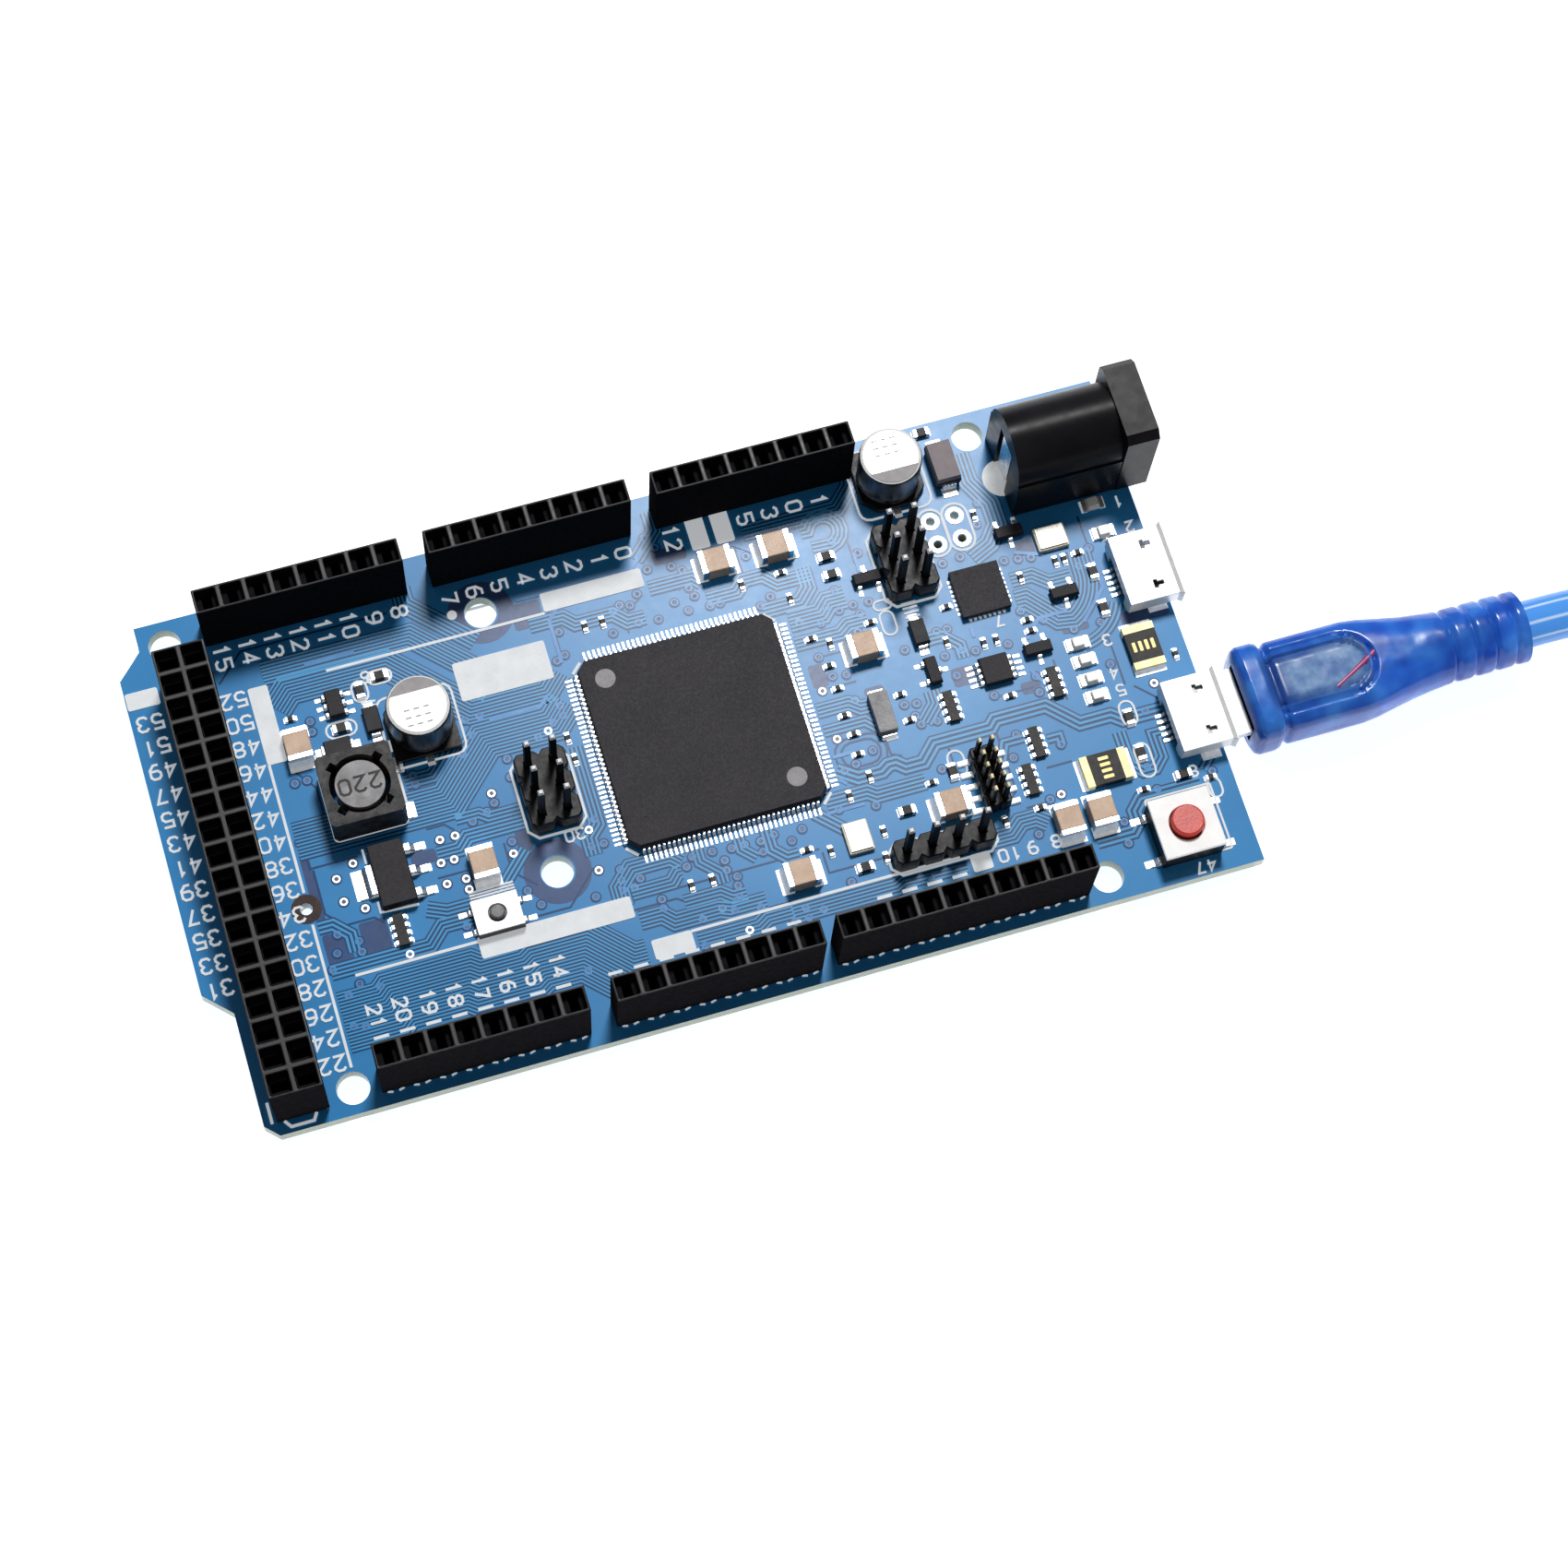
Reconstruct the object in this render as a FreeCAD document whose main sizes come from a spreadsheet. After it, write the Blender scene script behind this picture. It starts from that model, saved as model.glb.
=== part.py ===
"""A microcontroller development board with its USB cable plugged in.

Lengths are millimetres. u and v are measured on the board from its lower left corner: u runs
along the long side towards the USB sockets, v across it towards the power header. The model's
origin lies on the surface that the board stands on, under the middle of the board and its jack,
with +X along u, +Y along v and +Z up.
"""

import FreeCAD, Part
import math
import os
import re

import Sketcher
from FreeCAD import Placement, Rotation, Vector

SIZES = {
    # The board: its corner in the model, its outline and holes, and the tails that it stands on
    "corner_x": -51.75,
    "corner_y": -26.67,
    "board_long": 101.6,
    "board_wide": 53.34,
    "board_thick": 1.6,
    "tail_drop": 1.6,
    "step_in": 2.54,
    "low_corner": 1.27,
    "notch_low": 12.7,
    "notch_high": 15.24,
    "mount_hole_r": 1.6,
    "pin_hole_r": 0.5,
    "pad_hole_r": 0.4,
    "test_hole_r": 0.6,
    # Socket headers and their contacts
    "pitch": 2.54,
    "header_wide": 2.5,
    "header_high": 8.5,
    "socket_wide": 2.06,
    "socket_lip": 1.2,
    "cavity_across": 1.8,
    "cavity_along": 0.9,
    "edge_row_v": 2.54,
    "far_row_v": 50.8,
    "double_row_u": 5.08,
    "contact_thick": 0.6,
    "contact_tail": 0.6,
    "contact_high": 5.6,
    # Pin headers
    "pin_wide": 0.64,
    "pin_top": 8.5,
    "pin_base_high": 2.54,
    "fine_pitch": 1.27,
    "fine_pin_wide": 0.4,
    "fine_pin_top": 6.0,
    "fine_base_high": 2.0,
    # Processor
    "processor_u": 52.85,
    "processor_v": 27.55,
    "processor_wide": 20.0,
    "processor_high": 1.4,
    "processor_cut": 0.9,
    "lead_pitch": 0.5,
    "lead_wide": 0.22,
    "lead_reach": 1.0,
    "standoff": 0.1,
    # USB bridge, a square package with pads under its edges
    "bridge_u": 83.6,
    "bridge_v": 34.3,
    "bridge_wide": 5.0,
    "bridge_high": 0.9,
    "bridge_pad_high": 0.2,
    # Power inductor
    "inductor_u": 19.6,
    "inductor_v": 30.1,
    "inductor_wide": 7.3,
    "inductor_high": 4.5,
    "inductor_hole_r": 2.95,
    "inductor_drum_r": 2.4,
    "inductor_core_r": 1.3,
    # Electrolytic capacitors
    "can_r": 3.15,
    "can_high": 5.8,
    "can_base_wide": 6.6,
    "can_base_high": 0.9,
    # Power jack, with its body's rear end at jack_u
    "jack_u": 89.3,
    "jack_v": 45.6,
    "jack_long": 14.2,
    "jack_flange_long": 3.3,
    "jack_flange_wide": 9.0,
    "jack_high": 11.0,
    "jack_corner": 0.8,
    "jack_axis_high": 6.5,
    "jack_ledge": 0.2,
    "jack_barrel_r": 4.2,
    "jack_bore_r": 3.2,
    "jack_bore_deep": 9.5,
    "jack_pin_r": 1.05,
    "jack_recess": 0.6,
    "jack_slot_wide": 3.0,
    "jack_slot_long": 1.0,
    # Micro USB receptacles, with their rear faces at usb_u
    "usb_u": 97.0,
    "usb_native_v": 15.55,
    "usb_programming_v": 31.55,
    "usb_long": 5.1,
    "usb_wide": 7.5,
    "usb_low": 0.05,
    "usb_high": 2.75,
    "usb_wall": 0.25,
    "usb_cut": 0.7,
    "usb_lip": 0.45,
    # Reset switch
    "reset_u": 94.8,
    "reset_v": 4.8,
    "reset_wide": 6.0,
    "reset_base_high": 2.7,
    "reset_cover_thick": 0.35,
    "reset_well_r": 2.3,
    "reset_well_floor": 1.2,
    "reset_button_r": 1.6,
    "reset_flange_r": 2.1,
    "reset_button_top": 3.95,
    "reset_button_low": 1.7,
    "reset_flange_thick": 0.6,
    # Erase switch
    "erase_u": 28.9,
    "erase_v": 15.0,
    "erase_long": 4.6,
    "erase_wide": 3.5,
    "erase_base_high": 1.2,
    "erase_cover_thick": 0.2,
    "erase_well_r": 1.3,
    "erase_well_floor": 0.5,
    "erase_button_r": 0.75,
    "erase_flange_r": 1.1,
    "erase_button_top": 1.8,
    "erase_button_low": 0.85,
    "erase_flange_thick": 0.3,
    "button_gap": 0.15,
    # The cable and its plugs
    "plug_nose_u": 98.2,
    "plug_wide": 6.84,
    "plug_low": 0.45,
    "plug_high": 2.28,
    "plug_axis_high": 1.35,
    "overmould_u": 104.3,
    "collar_long": 2.9,
    "collar_wide": 10.3,
    "collar_high": 7.4,
    "grip_long": 9.6,
    "grip_wide": 9.8,
    "grip_high": 6.8,
    "neck_long": 8.2,
    "relief_long": 8.6,
    "relief_r": 3.65,
    "backshell_long": 12.6,
    "backshell_wide": 7.0,
    "backshell_high": 3.4,
    "cord_r": 2.4,
    "coil_x": 127.0,
    "coil_y": 3.0,
    "coil_middle_r": 24.0,
    "end_plug_x": 160.0,
    "end_plug_y": -25.0,
    "end_plug_z": 4.0,
    "end_relief_long": 9.0,
    "end_grip_long": 26.0,
    "end_grip_wide": 15.6,
    "end_grip_high": 8.0,
    "end_shell_long": 18.6,
    "end_shell_wide": 12.0,
    "end_shell_high": 4.5,
    "end_shell_wall": 0.3,
}

document = FreeCAD.newDocument("dev_board")
sheet = document.addObject("Spreadsheet::Sheet", "Sizes")
for row, (name, length) in enumerate(SIZES.items(), start=1):
    sheet.set(f"A{row}", name)
    sheet.set(f"B{row}", str(length))
    sheet.setAlias(f"B{row}", name)
document.recompute()

sub_parts = []


# Reading and binding the sheet


def bound(text):
    """The expression with each driving dimension's name pointing at its cell."""
    def to_cell(word):
        return f"Sizes.{word.group()}" if word.group() in SIZES else word.group()
    return re.sub(r"[a-z_][a-z_0-9]*", to_cell, str(text))


def size(text):
    """What such an expression comes to."""
    return float(sheet.evalExpression(bound(text)))


# PartDesign features


def put(thing, x=0, y=0, z=0):
    """Binds where a sub-part stands in the model."""
    for axis, text in zip("xyz", (x, y, z)):
        thing.setExpression(f"Placement.Base.{axis}", bound(text))


def new_body(label, u=0, v=0, high=0):
    """A body standing at u, v on the board's top face, or high above it."""
    body = document.addObject("PartDesign::Body", label)
    body.Label = label
    put(body, f"corner_x + {u}", f"corner_y + {v}", f"tail_drop + board_thick + {high}")
    sub_parts.append(body)
    return body


def origin_feature(body, role):
    return next(f for f in body.Origin.OriginFeatures if f.Role == role)


def sketch_on(body, name, plane="XY_Plane", x=0, y=0, z=0):
    """A sketch on one of the body's own planes, moved by x, y in it and by z along its normal."""
    sketch = body.newObject("Sketcher::SketchObject", f"{body.Name}_{name}")
    sketch.AttachmentSupport = [(origin_feature(body, plane), "")]
    sketch.MapMode = "FlatFace"
    for axis, text in zip("xyz", (x, y, z)):
        sketch.setExpression(f"AttachmentOffset.Base.{axis}", bound(text))
    return sketch


def drive(sketch, kind, *ends, text):
    """One dimension of a sketch, bound to the sheet."""
    number = sketch.addConstraint(Sketcher.Constraint(kind, *ends, size(text)))
    sketch.setExpression(f"Constraints[{number}]", bound(text))


def hold_point(sketch, shape, end, x, y):
    """Holds a point of the sketch by its distances from the sketch's origin."""
    for kind, text, axis in (("DistanceX", x, -2), ("DistanceY", y, -1)):
        if abs(size(text)) < 1e-9:
            sketch.addConstraint(Sketcher.Constraint("PointOnObject", shape, end, axis))
        else:
            drive(sketch, kind, -1, 1, shape, end, text=text)


def closed_lines(sketch, corners):
    """Lines from corner to corner and back to the first. Gives the first line's number."""
    first = sketch.GeometryCount
    for here, there in zip(corners, corners[1:] + corners[:1]):
        sketch.addGeometry(Part.LineSegment(here, there))
    for side in range(len(corners)):
        after = first + (side + 1) % len(corners)
        sketch.addConstraint(Sketcher.Constraint("Coincident", first + side, 2, after, 1))
    return first


def outline(sketch, points):
    corners = [Vector(size(x), size(y), 0) for x, y in points]
    first = closed_lines(sketch, corners)
    for side, (x, y) in enumerate(points):
        hold_point(sketch, first + side, 1, x, y)


def rectangle(sketch, width, height):
    """A rectangle about the sketch's origin."""
    right, top = size(width) / 2, size(height) / 2
    signs = [(-1, -1), (1, -1), (1, 1), (-1, 1)]
    first = closed_lines(sketch, [Vector(a * right, b * top, 0) for a, b in signs])
    for side in range(4):
        level = "Vertical" if side % 2 else "Horizontal"
        sketch.addConstraint(Sketcher.Constraint(level, first + side))
    sketch.addConstraint(Sketcher.Constraint("Symmetric", first, 1, first + 2, 1, -1, 1))
    drive(sketch, "DistanceX", first, 1, first, 2, text=width)
    drive(sketch, "DistanceY", first + 1, 1, first + 1, 2, text=height)


def cut_corner_square(sketch, width, cut):
    """A square about the sketch's origin, with its four corners cut off."""
    side = f"({width}) / 2"
    short = f"{side} - {cut}"
    outline(sketch, [
        (f"-({short})", f"-({side})"), (short, f"-({side})"), (side, f"-({short})"), (side, short),
        (short, side), (f"-({short})", side), (f"-({side})", short), (f"-({side})", f"-({short})"),
    ])


def circle(sketch, radius, x=0, y=0):
    ring = sketch.addGeometry(Part.Circle(Vector(size(x), size(y), 0), Vector(0, 0, 1), size(radius)))
    drive(sketch, "Radius", ring, text=radius)
    hold_point(sketch, ring, 3, x, y)


def pad(body, sketch, length, taper=0, downward=False):
    feature = body.newObject("PartDesign::Pad", f"{sketch.Name}_pad")
    feature.Profile = sketch
    feature.Reversed = downward
    feature.setExpression("Length", bound(length))
    feature.TaperAngle = taper
    document.recompute()
    return feature


def pocket(body, sketch, depth=None, upward=False):
    """A cut from the sketch, against its normal unless upward, and right through with no depth."""
    before = body.Shape.Volume
    feature = body.newObject("PartDesign::Pocket", f"{sketch.Name}_pocket")
    feature.Profile = sketch
    feature.Reversed = upward
    if depth is None:
        feature.Type = "ThroughAll"
    else:
        feature.setExpression("Length", bound(depth))
    document.recompute()
    if body.Shape.Volume > before - 1e-6:
        raise RuntimeError(f"{sketch.Name} cuts nothing from {body.Label}")
    return feature


def row_of(body, features, axis, step, count):
    """The features again and again along an axis of the body."""
    pattern = body.newObject("PartDesign::LinearPattern", f"{features[0].Name}_row")
    pattern.Originals = features
    pattern.Direction = (origin_feature(body, f"{axis}_Axis"), [""])
    pattern.setExpression("Length", bound(f"({step}) * {count - 1}"))
    pattern.Occurrences = count
    body.Tip = pattern
    document.recompute()


# Plain solids, for pieces that come in scattered groups


def group(label, shapes, x="corner_x", y="corner_y", z="tail_drop + board_thick"):
    """A node of one or more separate solids, made in u, v and height above the board."""
    feature = document.addObject("Part::Feature", label)
    feature.Label = label
    feature.Shape = Part.makeCompound(shapes)
    put(feature, x, y, z)
    sub_parts.append(feature)


def placed(shape, u, v, turn=0, high=0):
    copy = shape.copy()
    copy.Placement = Placement(Vector(u, v, high), Rotation(Vector(0, 0, 1), turn)) * copy.Placement
    return copy


def at_places(shape, places):
    """The shape at each of the places, which are u, v and the turn in degrees."""
    return [placed(shape, u, v, turn) for u, v, turn in places]


def block(long, wide, high, x=0, y=0, low=0):
    """A block centred on x, y, standing on the height low."""
    return Part.makeBox(long, wide, high, Vector(x - long / 2, y - wide / 2, low))


def cylinder(radius, high, x=0, y=0, low=0):
    return Part.makeCylinder(radius, high, Vector(x, y, low))


def strip(points, width, y=0):
    """A flat piece with its profile in x and z, as thick as width about y."""
    corners = [Vector(x, y - width / 2, z) for x, z in points]
    return Part.Face(Part.makePolygon(corners + corners[:1])).extrude(Vector(0, width, 0))


def turned(points, x=0, y=0):
    """A round piece, from a profile of radius and height."""
    corners = [Vector(x + r, y, z) for r, z in points]
    face = Part.Face(Part.makePolygon(corners + corners[:1]))
    return face.revolve(Vector(x, y, 0), Vector(0, 0, 1), 360)


def loft(wires):
    return Part.makeLoft(wires, True, True)


def level_rectangle(long, wide, high):
    corners = [Vector(a * long / 2, b * wide / 2, high) for a, b in ((-1, -1), (1, -1), (1, 1), (-1, 1))]
    return Part.makePolygon(corners + corners[:1])


def moulded(long, wide, low, high, draft=0.12):
    """A moulded package, widest at its middle."""
    middle = (low + high) / 2
    return loft([
        level_rectangle(long - 2 * draft, wide - 2 * draft, low),
        level_rectangle(long, wide, middle),
        level_rectangle(long - 2 * draft, wide - 2 * draft, high),
    ])


def gull_lead(high, reach, thick, width, y=0, start=0):
    """A lead that leaves a package at start, comes down and ends in a flat foot."""
    shoulder, heel = start + 0.25 * reach, start + 0.5 * reach
    return strip([
        (start, high), (shoulder, high), (heel, 0), (start + reach, 0), (start + reach, thick),
        (heel + thick / 2, thick), (shoulder + thick / 2, high + thick), (start, high + thick),
    ], width, y)


def square_pin(width, low, high, tip=0.4):
    """A square pin with a tapered tip at each end."""
    return loft([
        level_rectangle(width / 2, width / 2, low),
        level_rectangle(width, width, low + tip),
        level_rectangle(width, width, high - tip),
        level_rectangle(width / 2, width / 2, high),
    ])


def around(shape, quarter_turns=4):
    """The shape turned about +Z, once for each side of a square."""
    return [placed(shape, 0, 0, 90 * k) for k in range(quarter_turns)]


# Where the headers and holes are: first u, v, how many, and the axis that they run along

EDGE_HEADERS = {
    "analog_high_header": (10.16, "far_row_v", 8),
    "analog_low_header": (33.02, "far_row_v", 8),
    "power_header": (55.88, "far_row_v", 8),
    "communication_header": (15.24, "edge_row_v", 8),
    "pwm_low_header": (38.1, "edge_row_v", 8),
    "pwm_high_header": (59.944, "edge_row_v", 10),
}
DOUBLE_COUNT = 18
SIX_PIN_PLACES = [(36.85, 25.65), (77.25, 39.2)]
DEBUG_PLACE = (71.9, 9.75)
FINE_PLACE = (78.25, 14.9)
MOUNT_HOLES = [
    (5.08, 50.8), (87.63, 50.8), (11.43, 2.54), (86.36, 2.54), (35.56, 45.72), (35.56, 17.78),
]
SPARE_HOLES = [(81.2, 42.84), (83.74, 42.84), (81.2, 40.3), (83.74, 40.3)]
TEST_HOLE = (11.6, 20.8)


def pin_grid(columns, rows, step):
    """The places of a block of pins, about its own middle."""
    return [
        ((i - (columns - 1) / 2) * step, (j - (rows - 1) / 2) * step)
        for i in range(columns) for j in range(rows)
    ]


# The circuit board


def make_board():
    board = document.addObject("PartDesign::Body", "circuit_board")
    board.Label = "circuit_board"
    put(board, "corner_x", "corner_y", "tail_drop")
    sub_parts.append(board)
    edge = sketch_on(board, "outline")
    outline(edge, [
        ("step_in + low_corner", 0), ("board_long", 0), ("board_long", "board_wide"),
        ("step_in", "board_wide"), ("step_in", "board_wide - step_in"),
        (0, "board_wide - 2 * step_in"), (0, "notch_high"), ("step_in", "notch_low"),
        ("step_in", "low_corner"),
    ])
    pad(board, edge, "board_thick")
    mounts = sketch_on(board, "mounting_holes", z="board_thick")
    for u, v in MOUNT_HOLES:
        circle(mounts, "mount_hole_r", u, v)
    pocket(board, mounts)
    spare = sketch_on(board, "spare_holes", z="board_thick")
    for u, v in SPARE_HOLES:
        circle(spare, "pad_hole_r", u, v)
    circle(spare, "test_hole_r", *TEST_HOLE)
    pocket(board, spare)
    first_pair = sketch_on(board, "double_row", z="board_thick")
    circle(first_pair, "pin_hole_r", "double_row_u", "edge_row_v")
    circle(first_pair, "pin_hole_r", "double_row_u + pitch", "edge_row_v")
    row_of(board, [pocket(board, first_pair)], "Y", "pitch", DOUBLE_COUNT)
    for label, (u, v, count) in EDGE_HEADERS.items():
        first = sketch_on(board, label, z="board_thick")
        circle(first, "pin_hole_r", u, v)
        row_of(board, [pocket(board, first)], "X", "pitch", count)
    pins = sketch_on(board, "pin_header_holes", z="board_thick")
    for u, v in SIX_PIN_PLACES:
        for du, dv in pin_grid(2, 3, size("pitch")):
            circle(pins, "pin_hole_r", u + du, v + dv)
    for du, dv in pin_grid(4, 1, size("pitch")):
        circle(pins, "pin_hole_r", DEBUG_PLACE[0] + du, DEBUG_PLACE[1] + dv)
    pocket(board, pins)
    for name, along, across, long, wide in JACK_SLOTS:
        slot = sketch_on(board, name, x=f"jack_u + {along}", y=f"jack_v + {across}", z="board_thick")
        rectangle(slot, long, wide)
        pocket(board, slot)


# Each jack terminal's slot: its name, its place from the jack's rear end, and its size

JACK_SLOTS = [
    ("rear_slot", 0.25, 0, "jack_slot_long", "jack_slot_wide"),
    ("front_slot", 6.3, 0, "jack_slot_long", "jack_slot_wide"),
    ("side_slot", 3.3, 4.9, "jack_slot_wide", "jack_slot_long"),
]


# Socket headers


def make_edge_header(label, u, v, count):
    header = new_body(label, u, v)
    block_sketch = sketch_on(header, "block", x=f"pitch * {(count - 1) / 2}")
    rectangle(block_sketch, f"pitch * {count}", "header_wide")
    pad(header, block_sketch, "header_high")
    mouth = sketch_on(header, "mouth", z="header_high")
    rectangle(mouth, "socket_wide", "socket_wide")
    mouths = pocket(header, mouth, "socket_lip")
    cavity = sketch_on(header, "cavity")
    rectangle(cavity, "cavity_along", "cavity_across")
    cavities = pocket(header, cavity, "header_high - socket_lip", upward=True)
    row_of(header, [mouths, cavities], "X", "pitch", count)


def make_double_header():
    header = new_body("digital_double_header", "double_row_u", "edge_row_v")
    middle_y = f"pitch * {(DOUBLE_COUNT - 1) / 2}"
    block_sketch = sketch_on(header, "block", x="pitch / 2", y=middle_y)
    rectangle(block_sketch, "2 * pitch", f"pitch * {DOUBLE_COUNT}")
    pad(header, block_sketch, "header_high")
    cuts = []
    for side, x in (("left", 0), ("right", "pitch")):
        mouth = sketch_on(header, f"{side}_mouth", x=x, z="header_high")
        rectangle(mouth, "socket_wide", "socket_wide")
        cuts.append(pocket(header, mouth, "socket_lip"))
        cavity = sketch_on(header, f"{side}_cavity", x=x)
        rectangle(cavity, "cavity_across", "cavity_along")
        cuts.append(pocket(header, cavity, "header_high - socket_lip", upward=True))
    row_of(header, cuts, "Y", "pitch", DOUBLE_COUNT)


def contact():
    """A stamped fork on a tail that goes through the board. Its leaves spring apart along x."""
    tail, low = size("contact_tail") / 2, -size("board_thick + tail_drop")
    top, wide = size("contact_high"), size("cavity_across") / 2 - 0.05
    half = [
        (tail, low), (tail, 0.2), (wide, 0.2), (wide, 1.4), (0.6, top - 0.5), (0.75, top),
        (0.55, top), (0.36, top - 0.5), (0.45, 1.8),
    ]
    return strip(half + [(-x, z) for x, z in reversed(half)], size("contact_thick"))


def contact_places():
    """The end contacts' places and the others', with the turn that sets each across its row."""
    step = size("pitch")
    ends, inner = [], []
    for u, v, count in EDGE_HEADERS.values():
        for k in range(count):
            home = ends if k in (0, count - 1) else inner
            home.append((u + k * step, size(v), 90))
    for column in (0, 1):
        for k in range(DOUBLE_COUNT):
            home = ends if k in (0, DOUBLE_COUNT - 1) else inner
            home.append((size("double_row_u") + column * step, size("edge_row_v") + k * step, 0))
    return ends, inner


# Pin headers


def notched_base(columns, rows, step, notch, low, high, pin):
    """A pin header's base: a bar with a notch between each two pins and its corners cut off."""
    across, along = columns * step, rows * step
    sides = [
        (Vector(0, 0), Vector(1, 0), columns), (Vector(across, 0), Vector(0, 1), rows),
        (Vector(across, along), Vector(-1, 0), columns), (Vector(0, along), Vector(0, -1), rows),
    ]
    corners = []
    for start, way, cells in sides:
        inward = Vector(-way.y, way.x)
        for cell in range(cells):
            corners.append(start + way * (cell * step + notch))
            corners.append(start + way * ((cell + 1) * step - notch))
            if cell < cells - 1:
                corners.append(start + way * ((cell + 1) * step) + inward * notch)
    shift = Vector(-across / 2, -along / 2, low)
    corners = [corner + shift for corner in corners]
    face = Part.Face(Part.makePolygon(corners + corners[:1]))
    solid = face.extrude(Vector(0, 0, high - low))
    holes = [block(pin, pin, high - low, x, y, low) for x, y in pin_grid(columns, rows, step)]
    return solid.cut(Part.makeCompound(holes))


def make_pin_headers():
    step, pin = size("pitch"), size("pin_wide")
    high = size("pin_base_high")
    six = notched_base(2, 3, step, 0.45, 0, high, pin)
    four = notched_base(4, 1, step, 0.45, 0, high, pin)
    bases = [placed(six, u, v) for u, v in SIX_PIN_PLACES] + [placed(four, *DEBUG_PLACE)]
    group("pin_header_bases", bases)
    long_pin = square_pin(pin, -size("board_thick + tail_drop"), size("pin_top"))
    pins = [
        placed(long_pin, u + du, v + dv)
        for u, v in SIX_PIN_PLACES for du, dv in pin_grid(2, 3, step)
    ]
    pins += [
        placed(long_pin, DEBUG_PLACE[0] + du, DEBUG_PLACE[1] + dv)
        for du, dv in pin_grid(4, 1, step)
    ]
    group("header_pins", pins)


def make_fine_header():
    """The debug header at half the pitch, on feet soldered to the board's top."""
    step, pin = size("fine_pitch"), size("fine_pin_wide")
    foot = 0.3
    low, high = foot + 0.05, foot + 0.05 + size("fine_base_high")
    base = notched_base(2, 5, step, 0.2, low, high, pin)
    group("jtag_header_base", [placed(base, *FINE_PLACE)])
    top = size("fine_pin_top")
    bent = strip([
        (-pin / 2, 0), (1.7, 0), (1.7, foot), (pin / 2, foot), (pin / 2, top - 0.3),
        (pin / 4, top), (-pin / 4, top), (-pin / 2, top - 0.3),
    ], pin)
    pins = [
        placed(bent, FINE_PLACE[0] + du, FINE_PLACE[1] + dv, 0 if du > 0 else 180)
        for du, dv in pin_grid(2, 5, step)
    ]
    group("jtag_pins", pins)


# Chips


def make_processor():
    body = new_body("processor_body", "processor_u", "processor_v", "standoff")
    half = "processor_high / 2"
    middle = sketch_on(body, "top_half", z=half)
    cut_corner_square(middle, "processor_wide", "processor_cut")
    pad(body, middle, half, taper=-10)
    under = sketch_on(body, "bottom_half", z=half)
    cut_corner_square(under, "processor_wide", "processor_cut")
    pad(body, under, half, taper=-10, downward=True)
    dimples = sketch_on(body, "dimples", z="processor_high")
    circle(dimples, 1, -7.55, 7.55)
    circle(dimples, 1, 7.45, -7.35)
    circle(dimples, 0.3, -7.85, -7.55)
    pocket(body, dimples, 0.05)
    high = size("standoff + processor_high / 2") - 0.06
    side = [
        gull_lead(high, size("lead_reach"), 0.12, size("lead_wide"),
                  (k - 17.5) * size("lead_pitch"), size("processor_wide") / 2)
        for k in range(36)
    ]
    leads = [lead for row in around(Part.makeCompound(side)) for lead in row.Solids]
    u, v = size("processor_u"), size("processor_v")
    group("processor_leads", [placed(lead, u, v) for lead in leads])


def make_bridge():
    body = new_body("usb_bridge_body", "bridge_u", "bridge_v", "bridge_pad_high")
    square = sketch_on(body, "square")
    rectangle(square, "bridge_wide", "bridge_wide")
    pad(body, square, "bridge_high - bridge_pad_high")
    dimple = sketch_on(body, "dimple", z="bridge_high - bridge_pad_high")
    circle(dimple, 0.3, -1.9, 1.9)
    pocket(body, dimple, 0.05)
    wide, high = size("bridge_wide"), size("bridge_pad_high")
    side = Part.makeCompound([
        block(0.45, 0.25, high, wide / 2 - 0.125, (k - 3.5) * 0.5) for k in range(8)
    ])
    pads = [solid for row in around(side) for solid in row.Solids]
    pads.append(block(3.3, 3.3, high))
    group("usb_bridge_pads", [placed(p, size("bridge_u"), size("bridge_v")) for p in pads])


# Small packages: where each stands and how far it is turned

AMPLIFIER_PLACE = (82.5, 25.8, 0)
CONVERTER_PLACE = (19.4, 40.1, 0)
REGULATOR_PLACE = (20.3, 21.6, 0)
TRANSISTOR_PLACES = [
    (91.6, 31.8, 0), (87.2, 26.8, 0), (73.2, 38.6, 180), (88.3, 39.5, 0), (76.5, 27.4, 90),
]
POWER_DIODE_PLACE = (84.1, 48.1, 90)
SMALL_DIODE_PLACES = [(18.6, 35.7, 0), (22.5, 37.5, 90), (76.4, 31.6, 90)]
CAN_PLACES = [(26.9, 35.8, 0), (78.4, 48.4, 180)]


def both_ends(lead):
    return [lead, placed(lead, 0, 0, 180)]


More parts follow.
